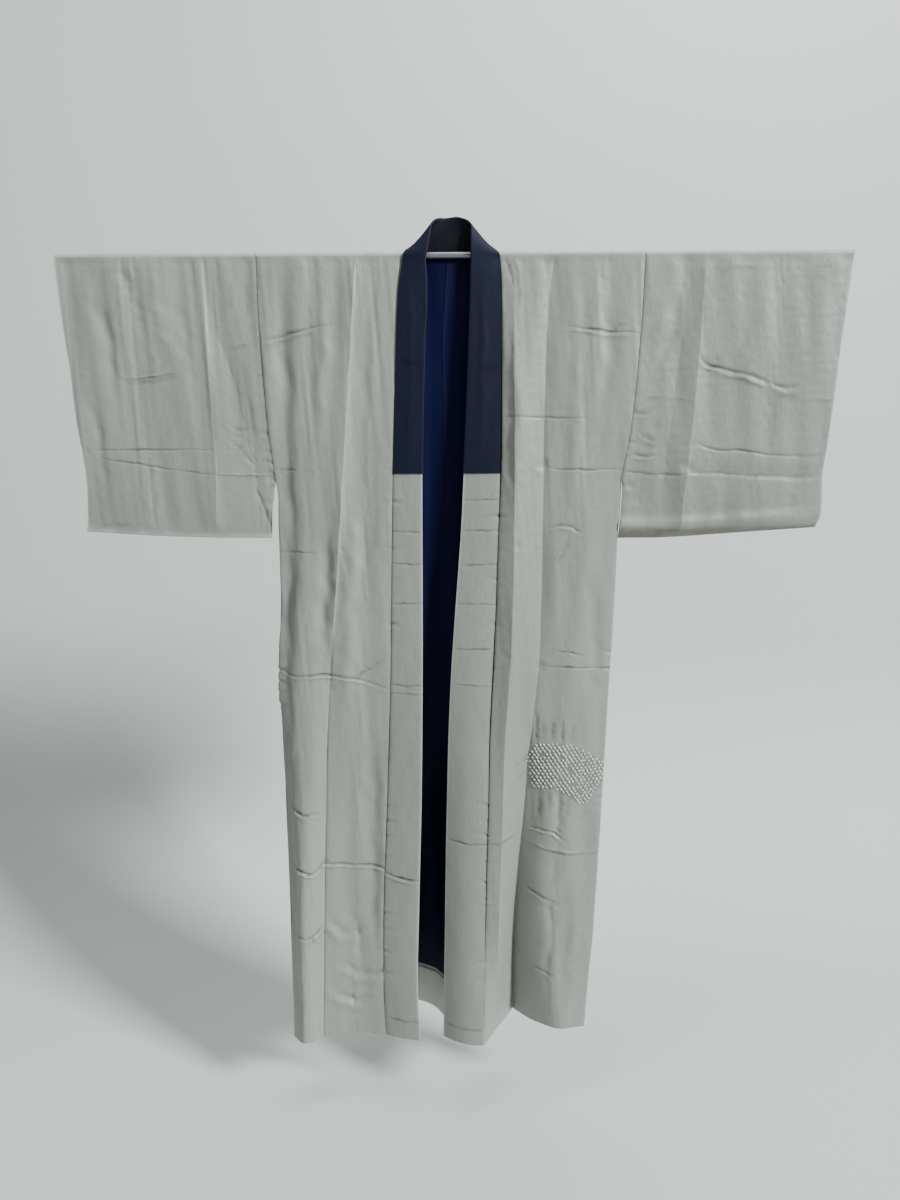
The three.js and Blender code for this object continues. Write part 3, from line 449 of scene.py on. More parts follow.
COLLAR_CREASES = {
    "right": [
        trough(3.0, 0.8, (-112, -474), (-48, -476)),
        trough(3.0, 0.9, (-112, -531), (-48, -534)),
        trough(3.0, 0.8, (-112, -605), (-48, -603)),
        trough(3.2, 1.0, (-114, -752), (-80, -756), (-48, -752)),
        ridge(3.0, 0.7, (-114, -766), (-48, -768)),
        fold(4.0, 1.8, (-130, -1116), (-97, -1124), (-58, -1128)),
        trough(4.0, 0.9, (-134, -1409), (-100, -1412), (-58, -1409)),
    ],
    "left": [
        trough(3.0, 0.8, (24, -420), (88, -418)),
        trough(3.0, 0.9, (20, -473), (88, -474)),
        trough(3.0, 0.9, (14, -536), (88, -533)),
        trough(3.0, 0.7, (8, -604), (86, -606)),
        trough(3.2, 1.0, (2, -688), (82, -686)),
        ridge(3.0, 0.8, (0, -749), (80, -752)),
        trough(3.6, 1.2, (-10, -1046), (30, -1052), (70, -1051)),
        trough(4.0, 0.9, (-20, -1416), (20, -1419), (64, -1416)),
    ],
}
COVER_CREASES = {
    "right": [
        trough(3.2, 0.7, (-60, -66), (-44, -84), (-46, -120)),
        trough(5.0, 0.6, (-92, -180), (-40, -186)),
        ridge(6.0, 0.6, (-70, -30), (-66, -160), (-72, -330)),
    ],
    "left": [
        trough(5.0, 0.6, (30, -196), (90, -190)),
        ridge(6.0, 0.6, (60, -30), (58, -170), (56, -330)),
    ],
}
COLLAR_PUCKERS = {
    "right": [-420, -505, -640, -985, -1014, -1044, -1083, -1197, -1228, -1274, -1318],
    "left": [-446, -560, -640, -977, -1005, -1034, -1083, -1124, -1156, -1170, -1282, -1316],
}
SIDE_TUCKS = {
    "right": [-727, -746, -768, -790],
    "left": [-697, -727, -958, -975, -992, -1085, -1210, -1228],
}
PUCKER = {"width": 3.0, "height": 2.3, "reach": 13.0}
SEAM_GROOVE = {"depth": 0.8, "width": 2.2}

# The tie-dyed patch, whose knots stand in slanting rows and turn into a net on its outer side
PATCH = {
    "pitch": 7.0,
    "row_pitch": 6.6,
    "slant": math.radians(-57),
    "cross_slant": math.radians(34),
    "net_from": 236,
    "centre": (214, -922),
    "rows_each_way": 24,
    "outline": [
        (161, -866), (198, -867), (224, -871), (251, -885), (284, -903), (285, -917),
        (282, -940), (272, -951), (262, -965), (252, -984), (246, -989), (229, -975),
        (215, -967), (198, -957), (180, -951), (151, -952), (145, -924), (147, -908),
        (133, -901), (151, -878),
    ],
    "bare": [
        (203, -893, 5), (219, -920, 4.5), (199, -938, 4), (225, -945, 4.5), (238, -960, 4),
        (171, -887, 4.5),
    ],
    "swell": 1.2,
    "shade": 0.6,
}
KNOT = {"long": 3.5, "wide": 1.9, "tall": 1.7, "sides": 10}
KNOT_LEVELS = [(1.0, -0.3), (0.92, 0.35), (0.68, 0.75), (0.36, 0.96), (0.1, 1.0)]


def along(line, name, z):
    """A guide's x or y at heights z, on the smooth curve through its rows."""
    zs, values = line["z"], line[name]
    last = len(zs) - 1
    i = np.clip(np.searchsorted(-zs, -z, side="left") - 1, 0, last - 1)
    before = np.maximum(i - 1, 0)
    after = np.minimum(i + 2, last)
    span = zs[i + 1] - zs[i]
    t = np.clip((z - zs[i]) / span, 0, 1)
    leaving = (values[i + 1] - values[before]) / (zs[i + 1] - zs[before]) * span
    arriving = (values[after] - values[i]) / (zs[after] - zs[i]) * span
    t2, t3 = t * t, t * t * t
    start = (2 * t3 - 3 * t2 + 1) * values[i] + (t3 - 2 * t2 + t) * leaving
    return start + (3 * t2 - 2 * t3) * values[i + 1] + (t3 - t2) * arriving


def ease(t, round_start, round_end):
    """The share of the way from one guide's depth to the next: level beside a rounded guide."""
    if round_start and round_end:
        return t * t * (3 - 2 * t)
    if round_start:
        return t * t * (1.6 - 0.6 * t)
    if round_end:
        return 1 - (1 - t) * (1 - t) * (1.6 - 0.6 * (1 - t))
    return t


def across(lines, z, k):
    """x and y between guides, at heights z (rows by columns) and steps k counted across them."""
    gap = np.minimum(len(lines) - 2, np.floor(k)).astype(int)
    x, y = np.empty_like(z), np.empty_like(z)
    for g in range(len(lines) - 1):
        cols = np.flatnonzero(gap == g)
        t = k[cols] - g
        a, b = lines[g], lines[g + 1]
        depth = ease(t, a["round"], b["round"])
        heights = z[:, cols]
        x[:, cols] = along(a, "x", heights) * (1 - t) + along(b, "x", heights) * t
        y[:, cols] = along(a, "y", heights) * (1 - depth) + along(b, "y", heights) * depth
    return x, y


def depth_at(lines, z, x):
    """y between guides at places given by x and z."""
    xs = [along(line, "x", z) for line in lines]
    ys = [along(line, "y", z) for line in lines]
    y = np.zeros_like(x)
    for g in range(len(lines) - 1):
        t = (x - xs[g]) / (xs[g + 1] - xs[g])
        here = (t >= 0 if g else t > -1) & (t <= 1 if g < len(lines) - 2 else t < 2)
        depth = ease(np.clip(t, 0, 1), lines[g]["round"], lines[g + 1]["round"])
        y = np.where(here, ys[g] * (1 - depth) + ys[g + 1] * depth, y)
    return y


def close_columns(counts, closeness=0.7):
    """Steps across a list of guides, so many in each gap and closer together beside the guides."""
    out = [np.zeros(1)]
    for gap, count in enumerate(counts):
        t = np.arange(1, count + 1) / count
        out.append(gap + t - closeness * np.sin(2 * np.pi * t) / (2 * np.pi))
    return np.concatenate(out)


def spaced(start, end, count, bands=(), extra=4.0, width=7.5):
    """Heights from start to end, closer together at each band."""
    fine = np.linspace(start, end, 4001)
    density = np.ones_like(fine)
    for band in bands:
        density += extra * np.exp(-(((fine - band) / width) ** 2))
    share = np.cumsum(density)
    share = (share - share[0]) / (share[-1] - share[0])
    return np.interp(np.linspace(0, 1, count), share, fine)


def spline(a, b, c, d, t):
    """The place at share t of the way from b to c, on the smooth curve through all four."""
    curve = 2 * b + (c - a) * t + (2 * a - 5 * b + 4 * c - d) * t ** 2
    return 0.5 * (curve + (3 * b - a - 3 * c + d) * t ** 3)


def smooth_path(path, pitch=4.0):
    """Points a few millimetres apart on a smooth curve through a crease's path."""
    points = np.array(path, float)
    if len(points) == 2:
        points = np.array([points[0], points.mean(0), points[1]])
    padded = np.vstack([2 * points[0] - points[1], points, 2 * points[-1] - points[-2]])
    out = []
    for i in range(1, len(padded) - 2):
        steps = max(2, int(np.linalg.norm(padded[i + 1] - padded[i]) / pitch))
        t = np.linspace(0, 1, steps, endpoint=False)[:, None]
        out.append(spline(*padded[i - 1:i + 3], t))
    out.append(points[-1:])
    return np.vstack(out)


def to_path(x, z, path):
    """For points x, z: the signed distance to a path (above it is positive) and the share of
    the way along it."""
    start, step = path[:-1], np.diff(path, axis=0)
    length = np.linalg.norm(step, axis=1)
    run = np.concatenate([[0], np.cumsum(length)])
    best = np.full(x.shape, np.inf)
    side, share = np.zeros(x.shape), np.zeros(x.shape)
    for i in range(len(step)):
        dx, dz = x - start[i, 0], z - start[i, 1]
        t = np.clip((dx * step[i, 0] + dz * step[i, 1]) / length[i] ** 2, 0, 1)
        ex, ez = dx - t * step[i, 0], dz - t * step[i, 1]
        away = np.hypot(ex, ez)
        closer = away < best
        best = np.where(closer, away, best)
        side = np.where(closer, np.sign(step[i, 0] * ez - step[i, 1] * ex), side)
        share = np.where(closer, (run[i] + t * length[i]) / run[-1], share)
    return best * side, share


def profile(kind, d):
    """A crease's height across its line, for distances d in widths. Above the line is positive."""
    bell = np.exp(-d ** 2)
    if kind == "ridge":
        return bell
    if kind == "trough":
        return -bell
    if kind == "ledge":
        return -np.where(d > 0, np.exp(-((d / 5) ** 2)), bell)
    return 0.75 * np.exp(-((d + 1.9) ** 2)) - bell


# Storage creases are narrower and deeper than their tables say, and soft folds deeper still
SHARPER = 0.66
CRISPER = 1.45
DEEPER = 2.5
STORAGE_WIDTH = 6
CREASE_REACH = 4
LEDGE_REACH = 9


def creased(creases, x, z, seed):
    """The height that a list of creases gives the cloth at x, z, and how much painted shade it gets
    there.
    """
    height, mark = np.zeros_like(x), np.zeros_like(x)
    for number, crease in enumerate(creases):
        path = smooth_path(crease.path)
        reach = crease.width * (LEDGE_REACH if crease.kind == "ledge" else CREASE_REACH)
        low, high = path.min(0) - reach, path.max(0) + reach
        near = (x > low[0]) & (x < high[0]) & (z > low[1]) & (z < high[1])
        if not near.any():
            continue
        d, share = to_path(x[near], z[near], path)
        phase = 1.7 * number + seed
        uneven = 1 + 0.3 * np.sin(9 * share + phase) + 0.2 * np.sin(23 * share + 2.3 * phase)
        wander = 0.25 * np.sin(17 * share + phase) + 0.18 * np.sin(41 * share + 3 * phase)
        taper = np.sin(np.pi * np.clip(share, 0.02, 0.98)) ** 0.6
        strength = uneven * taper
        fine = SHARPER if crease.width < STORAGE_WIDTH else 1
        across_line = d / (crease.width * fine) + wander
        depth = crease.height * (DEEPER if crease.width > STORAGE_WIDTH else CRISPER)
        height[near] += depth * strength * profile(crease.kind, across_line)
        # Narrow storage creases get painted shade along their line.
        if crease.width < STORAGE_WIDTH:
            painted_shade = crease.height / (crease.height + 0.7)
            mark[near] += painted_shade * strength * np.exp(-((across_line / 1.2) ** 2))
    return height, mark


def dented(dents, x, z):
    """The height of small star-shaped dents at x, z."""
    height = np.zeros_like(x)
    for dent in dents:
        dx, dz = x - dent.x, z - dent.z
        r = np.hypot(dx, dz) / dent.radius
        rays = 1 + 0.5 * np.cos(4 * np.arctan2(dz, dx) + dent.x)
        height -= dent.depth * np.exp(-r ** 2) * (0.6 + 0.4 * rays)
        height += 0.4 * dent.depth * np.exp(-((r - 1.5) ** 2) * 2) * rays / 1.5
    return height


def ripple(x, z, seed, across_wave, down_wave, count=14):
    """Smooth uneven waves of about unit height, with typical wavelengths across and down."""
    rng = np.random.default_rng(seed)
    out = np.zeros_like(x)
    for _ in range(count):
        kx = rng.normal() * 2 * np.pi / across_wave
        kz = rng.normal() * 2 * np.pi / down_wave
        out += np.sin(kx * x + kz * z + rng.uniform(0, 2 * np.pi))
    return out / math.sqrt(count)


SOFT_HEIGHT = 1.6
SOFT_WAVES = (95, 560)
STREAK_WAVES = (27, 420)
STREAK_LEAN = 0.06
STREAK_FADE = 260
CRUMPLE_WAVES = (18, 25)
CRUMPLE_COUNT = 24


def drape(x, z, name, seed):
    """The unevenness of thin silk that hangs: soft waves, streaks from the rod and a crumple."""
    soft = SOFT_HEIGHT * ripple(x, z, seed, *SOFT_WAVES)
    fade = 0.4 + 0.6 * np.exp(z / STREAK_FADE)
    streaks = STREAKS[name] * fade * ripple(x + STREAK_LEAN * z, z, seed + 1, *STREAK_WAVES)
    crumple = CRUMPLE[name] * ripple(x, z, seed + 2, *CRUMPLE_WAVES, CRUMPLE_COUNT)
    return soft + streaks + crumple


def pressed(presses, x, z, line):
    """The heights of long pressed creases along a guide, and how strongly each crease's painted
    highlight, partly wear, shows.
    """
    off = x - along(line, "x", z)
    height, edge = np.zeros_like(x), np.zeros_like(x)
    for press in presses:
        fade_in = np.clip((press.top - z) / PRESS_FADE + 0.5, 0, 1)
        fade_out = np.clip((z - press.bottom) / PRESS_FADE + 0.5, 0, 1)
        there = fade_in * fade_out * (0.85 + 0.15 * np.sin(z / 37))
        reach = np.where(off < 0, press.left, press.right)
        height += press.height * there * np.exp(-np.abs(off) / reach)
        edge += PRESS_HIGHLIGHT_AND_WEAR * there * np.exp(-((off / 0.9) ** 2))
    return height, edge


def puckered(places, distance, z, seed, strength=1.0):
    """Short puckers that run off a seam at the given heights, and a fine gather between them."""
    fade = np.exp(-((distance / PUCKER["reach"]) ** 1.5))
    height = 0.16 * ripple(0 * z, z, seed, 1e6, 17) * fade
    for i, place in enumerate(places):
        lean = 0.22 * distance * math.sin(3 * i + seed)
        off = (z - place - lean) / (PUCKER["width"] * (1 + distance / 30))
        depth = strength * PUCKER["height"] * (0.6 + 0.6 * math.sin(5 * i + seed) ** 2)
        height += depth * (0.5 * np.exp(-((off - 1.6) ** 2)) - np.exp(-off ** 2)) * fade
    return height


def groove(distance):
    """The cloth turns in where it is sewn."""
    return -SEAM_GROOVE["depth"] * np.exp(-((distance / SEAM_GROOVE["width"]) ** 2))


def normals_of(grid, looped=False):
    """Unit normals of a grid of points, away from the cloth's inside once they are oriented."""
    ring = np.concatenate([grid[-1:], grid, grid[:1]]) if looped else grid
    down = np.gradient(ring, axis=0)
    if looped:
        down = down[1:-1]
    over = np.gradient(grid, axis=1)
    normal = np.cross(down, over)
    return normal / np.linalg.norm(normal, axis=2, keepdims=True)


def quads_of(rows, cols, looped=False):
    """The faces of a closed shell whose outer points come first and inner points second."""
    ids = np.arange(rows * cols).reshape(rows, cols)
    if looped:
        ids = np.vstack([ids, ids[:1]])
    n = rows * cols
    outer = np.stack([ids[:-1, :-1], ids[1:, :-1], ids[1:, 1:], ids[:-1, 1:]], -1).reshape(-1, 4)
    faces = [outer, outer[:, ::-1] + n]
    edges = [(ids[:-1, 0], ids[1:, 0], True), (ids[:-1, -1], ids[1:, -1], False)]
    if not looped:
        edges += [(ids[0, :-1], ids[0, 1:], False), (ids[-1, :-1], ids[-1, 1:], True)]
    for a, b, turned in edges:
        rim = np.stack([a, b, b + n, a + n], -1)
        faces.append(rim[:, ::-1] if turned else rim)
    return np.vstack(faces)


def facing_out(points, faces):
    """The faces, turned so that a closed mesh has its outside out."""
    a, b, c, d = (points[faces[:, i]] for i in range(4))
    volume = np.einsum("ij,ij->i", a, np.cross(b, c)) + np.einsum("ij,ij->i", a, np.cross(c, d))
    return faces if volume.sum() > 0 else faces[:, ::-1]


SHARP_ANGLE = math.radians(60)


def placed(name, data):
    """A new object of the scene that shows a mesh, light or camera."""
    obj = bpy.data.objects.new(name, data)
    bpy.context.scene.collection.objects.link(obj)
    return obj


def smooth_mesh(name, points, faces, sharp=None):
    """A smooth-shaded mesh from points in metres, with sharp edges past an angle if one is given."""
    mesh = bpy.data.meshes.new(name)
    mesh.from_pydata(points, [], faces)
    mesh.polygons.foreach_set("use_smooth", np.ones(len(mesh.polygons), bool))
    if sharp is not None:
        mesh.set_sharp_from_angle(angle=sharp)
    mesh.update()
    return mesh


def shell(name, middle, normals, height, thickness, looped=False, marks=()):
    """A closed shell of cloth: its middle surface is raised by height along the normals."""
    raised = middle + normals * height[..., None]
    outer = (raised + normals * thickness / 2).reshape(-1, 3)
    inner = (raised - normals * thickness / 2).reshape(-1, 3)
    points = np.vstack([outer, inner])
    rows, cols = middle.shape[:2]
    faces = facing_out(points, quads_of(rows, cols, looped))
    mesh = smooth_mesh(name, (points * MM).tolist(), faces.tolist(), SHARP_ANGLE)
    obj = placed(name, mesh)
    for label, values in zip(("crease", "edge"), marks):
        attribute = obj.data.attributes.new(label, "FLOAT", "POINT")
        both = np.concatenate([values.ravel(), values.ravel()])
        attribute.data.foreach_set("value", np.clip(both, 0, 1).astype(np.float32))
    return obj


def outward(normals, middle, row, towards_y):
    """Normals turned so that those of one row face towards +y or -y."""
    return normals if normals[row, :, 1].mean() * towards_y > 0 else -normals


# The body

FRONT_COLUMNS = {"left": (19, 22, 21, 11), "right": (22, 23, 14, 14)}
FRONT_BANDS = {
    "left": (-128, -276, -366, -470, -508, -696, -724, -1038, -1056, -1074, -1170, -1327),
    "right": (-120, -140, -364, -511, -730, -750, -990, -1102, -1114, -1236, -1320, -1370),
}
BACK_BANDS = (-130, -367, -735, -1098)
FRONT_ROWS = 450
BACK_ROWS = 186
WRAP_ROWS = 13
OUTWARD = {"left": 1, "right": -1}
BODY_SEEDS = {"left": 11, "right": 23}
FRONTS = {"left": LEFT_FRONT, "right": RIGHT_FRONT}
COLLARS = {"left": LEFT_COLLAR, "right": RIGHT_COLLAR}
FRONT_GUIDES = {
    "left": ("side", "panel", "crease", "crest", "seam"),
    "right": ("side", "roll", "crease", "panel", "seam"),
}
BACK_GUIDES = {
    "left": ("leftQuarter", "leftInner", "leftCrest", "centre"),
    "right": ("rightQuarter", "rightInner", "centre"),
}
TUCK = {"z": -12.0, "width": 3.5, "depth": 0.5}
SEAM_SHADE = 0.8
CENTRE_FADE = 14.0
# The fold over the rod is painted paler: a painted highlight where the top light falls on it.
ROD_FOLD_HIGHLIGHT = 0.55


def body_front_rows(side):
    """The middle surface of one front, from just below the rod down to the hem."""
    lines = [FRONTS[side][name] for name in FRONT_GUIDES[side]]
    k = close_columns(FRONT_COLUMNS[side])
    heights = spaced(-3.0, HEM, FRONT_ROWS, FRONT_BANDS[side])
    z = np.repeat(heights[:, None], len(k), axis=1)
    x, y = across(lines, z, k)
    outward_x = OUTWARD[side]
    x[:, 0] -= outward_x * SEAM_GAP / 2
    x[:, -1] += outward_x * SEAM_GAP / 2
    if side == "left":
        near_crease = np.maximum(0, 1 - np.abs(k - 2))
        near_panel = np.maximum(0, 1 - np.abs(k - 1))
        rise = HEM_RISE["crease"] * near_crease + HEM_RISE["panel"] * near_panel
        z = z + rise * (z / HEM) ** HEM_RISE["power"]
    return np.stack([x, y, z], -1)


def share_over_shoulder(side):
    """How far across the shoulder each column lies, from the side seam to the neckline."""
    lines = [FRONTS[side][name] for name in FRONT_GUIDES[side]]
    k = close_columns(FRONT_COLUMNS[side])
    x, _ = across(lines, np.zeros((1, len(k))), k)
    return (x[0] - x[0, 0]) / (x[0, -1] - x[0, 0])


def over_rod(x, turn):
    """A row on the fold over the rod, turned by so many degrees from the top, front to back."""
    y = np.full_like(x, FOLD_RADIUS * math.sin(math.radians(turn)))
    z = np.full_like(x, FOLD_RADIUS * math.cos(math.radians(turn)))
    return np.stack([x, y, z], -1)


def body_wrap_rows(side):
    """The middle surface over the rod, where the inner edge runs back along the neckline."""
    share = share_over_shoulder(side)
    side_x = FRONTS[side]["side"]["x"][0]
    outward_x = OUTWARD[side]
    rows = []
    for turn in np.linspace(-90, 90, WRAP_ROWS):
        inner = np.interp(turn, NECKLINE_TURNS, NECKLINE[side])
        x = side_x + (inner - side_x) * share
        x[0] -= outward_x * SEAM_GAP / 2
        x[-1] += outward_x * SEAM_GAP / 2
        rows.append(over_rod(x, turn))
    return np.array(rows)


def back_lines(side):
    """The guides of one half of the back, from its side seam to the centre seam."""
    front = FRONTS[side]["side"]
    above = front["z"] > ARMHOLE_END
    edge = dict(front, y=np.where(above, -front["y"], front["y"] + SIDE_SEAM_GAP))
    return [edge] + [BACK[name] for name in BACK_GUIDES[side]]


def body_back_rows(side):
    lines = back_lines(side)
    share = share_over_shoulder(side)
    heights = spaced(-8.0, HEM, BACK_ROWS, BACK_BANDS)
    z = np.repeat(heights[:, None], len(share), axis=1)
    edge_x = along(lines[0], "x", z)
    x = edge_x + (along(lines[-1], "x", z) - edge_x) * share
    y = depth_at(lines, z, x)
    outward_x = OUTWARD[side]
    x[:, 0] -= outward_x * SEAM_GAP / 2
    x[:, -1] += outward_x * SEAM_GAP / 2
    rise = HEM_RISE["centre"] * (z / HEM) ** HEM_RISE["power"] * share
    return np.stack([x, y, z + rise], -1)


def patch_swell(x, z):
    """The tie-dyed patch stands up a little from the cloth round it."""
    outline = np.array(PATCH["outline"] + PATCH["outline"][:1], float)
    distance, _ = to_path(x, z, outline)
    depth_in = np.abs(distance) * inside(PATCH["outline"], x, z)
    return PATCH["swell"] * (1 - np.exp(-depth_in / 8))


def inside(outline, x, z):
    """Whether points lie inside an outline."""
    hit = np.zeros(np.shape(x), bool)
    for (ax, az), (bx, bz) in zip(outline, outline[1:] + outline[:1]):
        crosses = (az > z) != (bz > z)
        at = ax + (bx - ax) * (z - az) / (bz - az if bz != az else 1)
        hit ^= crosses & (x < at)
    return hit


def body_front_relief(side, front):
    """Heights, painted shade (crease marks) and painted highlights (edge marks) of one front."""
    name = "body_" + side
    seed = BODY_SEEDS[side]
    x, z = front[..., 0], front[..., 2]
    lines = FRONTS[side]
    from_side = np.abs(x - along(lines["side"], "x", z))
    from_seam = np.abs(x - along(lines["seam"], "x", z))
    height, mark = creased(CREASES[name], x, z, seed)
    press, edge = pressed(PRESSED[name], x, z, lines["crease"])
    height += press + dented(DENTS[name], x, z) + drape(x, z, name, seed)
    height += groove(from_seam) + groove(from_side)
    height += puckered(COLLAR_PUCKERS[side], from_seam, z, seed, 0.5)
    height += puckered(SIDE_TUCKS[side], from_side, z, seed + 4)
    height -= TUCK["depth"] * np.exp(-(((z - TUCK["z"]) / TUCK["width"]) ** 2))
    if side == "left":
        height += patch_swell(x, z)
        mark = np.maximum(mark, PATCH["shade"] * inside(PATCH["outline"], x, z))
    height *= np.clip(-z / 14, 0, 1)
    mark = np.maximum(mark, SEAM_SHADE * np.exp(-from_seam / 1.6))
    mark = np.maximum(mark, SEAM_SHADE * np.exp(-from_side / 1.6) * (z > ARMHOLE_END))
    return height, mark, edge


def body_back_relief(side, back):
    """Heights and painted crease shade of one half of the back."""
    name = "body_" + side
    seed = BODY_SEEDS[side]
    x, z = back[..., 0], back[..., 2]
    height, mark = creased(BACK_CREASES[name], x, z, seed + 5)
    from_side = np.abs(x - along(FRONTS[side]["side"], "x", z))
    from_centre = np.abs(x - along(BACK["centre"], "x", z))
    height += drape(x, z, name, seed + 7)
    height *= 1 - np.exp(-((from_centre / CENTRE_FADE) ** 2))
    height += groove(from_centre) + groove(from_side)
    height *= np.clip((-8 - z) / 20, 0, 1)
    return height, mark


def body_relief(side, front, over, back):
    """Heights, painted shade and painted highlights over the whole strip of one side of the body."""
    height, mark, edge = body_front_relief(side, front)
    back_height, back_mark = body_back_relief(side, back)
    blank = np.zeros(over.shape[:2])
    heights = np.concatenate([height[::-1], blank, back_height])
    marks = np.concatenate([mark[::-1], blank, back_mark])
    edges = np.concatenate([edge[::-1], blank + ROD_FOLD_HIGHLIGHT, np.zeros_like(back_mark)])
    return heights, (marks, edges)


def body_parts(side):
    """One side's whole strip: its middle surface, normals, heights and marks, hem to hem."""
    front, over, back = body_front_rows(side), body_wrap_rows(side), body_back_rows(side)
    middle = np.concatenate([front[::-1], over, back])
    normals = outward(normals_of(middle), middle, FRONT_ROWS // 2, -1)
    heights, marks = body_relief(side, front, over, back)
    return [middle, normals, heights, marks]


def meet_at_centre(parts):
    """Gives both halves of the back the same normals on the centre seam, where they meet."""
    ends = [parts[side][1][-BACK_ROWS:, -1] for side in ("right", "left")]
    shared = ends[0] + ends[1]
    shared /= np.linalg.norm(shared, axis=1, keepdims=True)
    for end in ends:
        end[:] = shared


# The sleeves

SLEEVE_COLUMNS = (30, 38, 14, 18)
SLEEVE_ROWS = 190
SLEEVE_BACK_ROWS = 80
SLEEVE_BANDS = {
    "right": (-200, -328, -352, -372),
    "left": (-195, -222, -330, -345, -378),
}
SLEEVE_SHAPES = {"left": LEFT_SLEEVE, "right": RIGHT_SLEEVE}
SLEEVE_SEEDS = {"left": 31, "right": 47}
CUFF_HEM = {"width": 9.0, "height": 0.35}
SLEEVE_TUCKS = {
    "right": [-240, -300, -332, -352, -368, -396, -420],
    "left": [-240, -268, -292, -318, -344, -392, -412],
}
FRAY = {"height": 0.9, "width": 1.6}
CURL = {"height": 42.0, "bulge": 5.5, "under": 9.5, "share": 3.0, "ends": 690, "fade": 150}


def sleeve_rows(side, shares, face):
    """The middle surface of a sleeve's front (-1) or back (1), at shares of its drop."""
    shape = SLEEVE_SHAPES[side]
    k = close_columns(SLEEVE_COLUMNS)
    bottom = np.interp(k, range(len(SLEEVE_GUIDES)), shape["bottom"])
    z = shares[:, None] * bottom[None, :]
    x, y = across([shape[name] for name in SLEEVE_GUIDES], z, k)
    x[:, -1] += OUTWARD[side] * SEAM_GAP / 2
    return np.stack([x, -face * y, z], -1)


def sleeve_wrap_rows(side):
    x = sleeve_rows(side, np.zeros(1), -1)[0, :, 0]
    return np.array([over_rod(x, turn) for turn in np.linspace(-90, 90, WRAP_ROWS)])


def sleeve_relief(side, rows, is_front):
    """Heights, painted shade (crease marks) and painted highlights (edge marks) of a sleeve's front
    or back.
    """
    name = "sleeve_" + side
    shape = SLEEVE_SHAPES[side]
    seed = SLEEVE_SEEDS[side]
    own_seed = seed if is_front else seed + 6
    creases = CREASES if is_front else BACK_CREASES
    x, z = rows[..., 0], rows[..., 2]
    height, mark = creased(creases[name], x, z, own_seed)
    height += drape(x, z, name, own_seed)
    edge = np.zeros_like(x)
    if is_front:
        press, edge = pressed(PRESSED[name], x, z, shape["crease"])
        height += press + dented(DENTS[name], x, z)
    from_seam = np.abs(x - along(shape["inner"], "x", z))
    from_cuff = np.abs(x - along(shape["cuff"], "x", z))
    height += groove(from_seam) + puckered(SLEEVE_TUCKS[side], from_seam, z, seed + 3, 0.7)
    height += hem_ridge(from_cuff, z, seed)
    height -= TUCK["depth"] * np.exp(-(((z - TUCK["z"]) / TUCK["width"]) ** 2))
    above = z - rows[-1:, :, 2]
    height *= np.clip(-z / 14, 0, 1) * np.clip(above / 22, 0, 1)
    mark = np.maximum(mark, SEAM_SHADE * np.exp(-from_seam / 1.6) * (z > ARMHOLE_END))
    # Painted highlights, partly wear, along the cuff and along the seam below the armhole.
    edge = np.maximum(edge, 0.8 * np.exp(-from_cuff / 1.5))
    edge = np.maximum(edge, 0.35 * np.exp(-from_seam / 1.5) * (z < ARMHOLE_END - 12))
    return sleeve_bottom(side, x, above, height, mark, edge)


def sleeve_bottom(side, x, above, height, mark, edge):
    """The right sleeve's bottom is frayed and painted pale, and the left one's underside gets painted
    shade.
    """
    if side == "right":
        # Pale along the bottom: partly fray, partly a painted highlight on the fold.
        ragged = 3.2 + 0.8 * np.sin(x / 9) + 0.6 * np.sin(x / 3.7)
        edge = np.maximum(edge, np.exp(-((above / ragged) ** 2)))
        height += FRAY["height"] * np.exp(-(((above - 2.5) / FRAY["width"]) ** 2))
    else:
        # Painted shade along the underside of the bottom, in a taller band towards the body.
        shaded = 7 + 14 * np.clip((600 - x) / 260, 0, 1)
        mark = np.maximum(mark, 0.85 * np.clip((shaded - above) / 6, 0, 1))
    return height, mark, edge


def sleeve_parts(side):
    """A sleeve's ring of rows: up the front, over the rod, down the back and round the bottom."""
    bottom = SLEEVE_SHAPES[side]["bottom"][-1]
    front_z = spaced(-3.0, bottom, SLEEVE_ROWS, SLEEVE_BANDS[side])
    back_z = spaced(-3.0, bottom, SLEEVE_BACK_ROWS, SLEEVE_BANDS[side])
    front = sleeve_rows(side, front_z / bottom, -1)
    back = sleeve_rows(side, back_z / bottom, 1)
    over = sleeve_wrap_rows(side)
    last_row = front[-1:].copy()
    last_row[..., 1] = 0
    last_row[..., 2] -= SLEEVE_FOLD_DROP
    ahead = sleeve_relief(side, front, True)
    behind = sleeve_relief(side, back, False)
    if side == "left":
        curl_under(front, back, last_row)
    blank = np.zeros(over.shape[:2])
    middle = np.concatenate([front[::-1], over, back, last_row])
    height = np.concatenate([ahead[0][::-1], blank, behind[0], blank[:1]])
    mark = np.concatenate([ahead[1][::-1], blank, behind[1], blank[:1]])
    # The bottom fold of the right sleeve is painted pale: fray and a painted highlight.
    bottom_fray_and_highlight = blank[:1] + (1.0 if side == "right" else 0.0)
    edge = np.concatenate([ahead[2][::-1], blank + ROD_FOLD_HIGHLIGHT, behind[2], bottom_fray_and_highlight])
    normals = outward(normals_of(middle, True), middle, SLEEVE_ROWS // 2, -1)
    return middle, normals, height, (mark, edge)


def hem_ridge(distance, z, seed):
    """The folded hem along a cuff: its inner edge stands a little proud of the cloth."""
    width = CUFF_HEM["width"] + 0.8 * np.sin(z / 31 + seed)
    return CUFF_HEM["height"] / (1 + np.exp((distance - width) / 0.7))


def curl_fade(rows):
    """The curl is weaker towards the cuff."""
    return np.clip((CURL["ends"] - rows[..., 0]) / CURL["fade"], 0.35, 1)


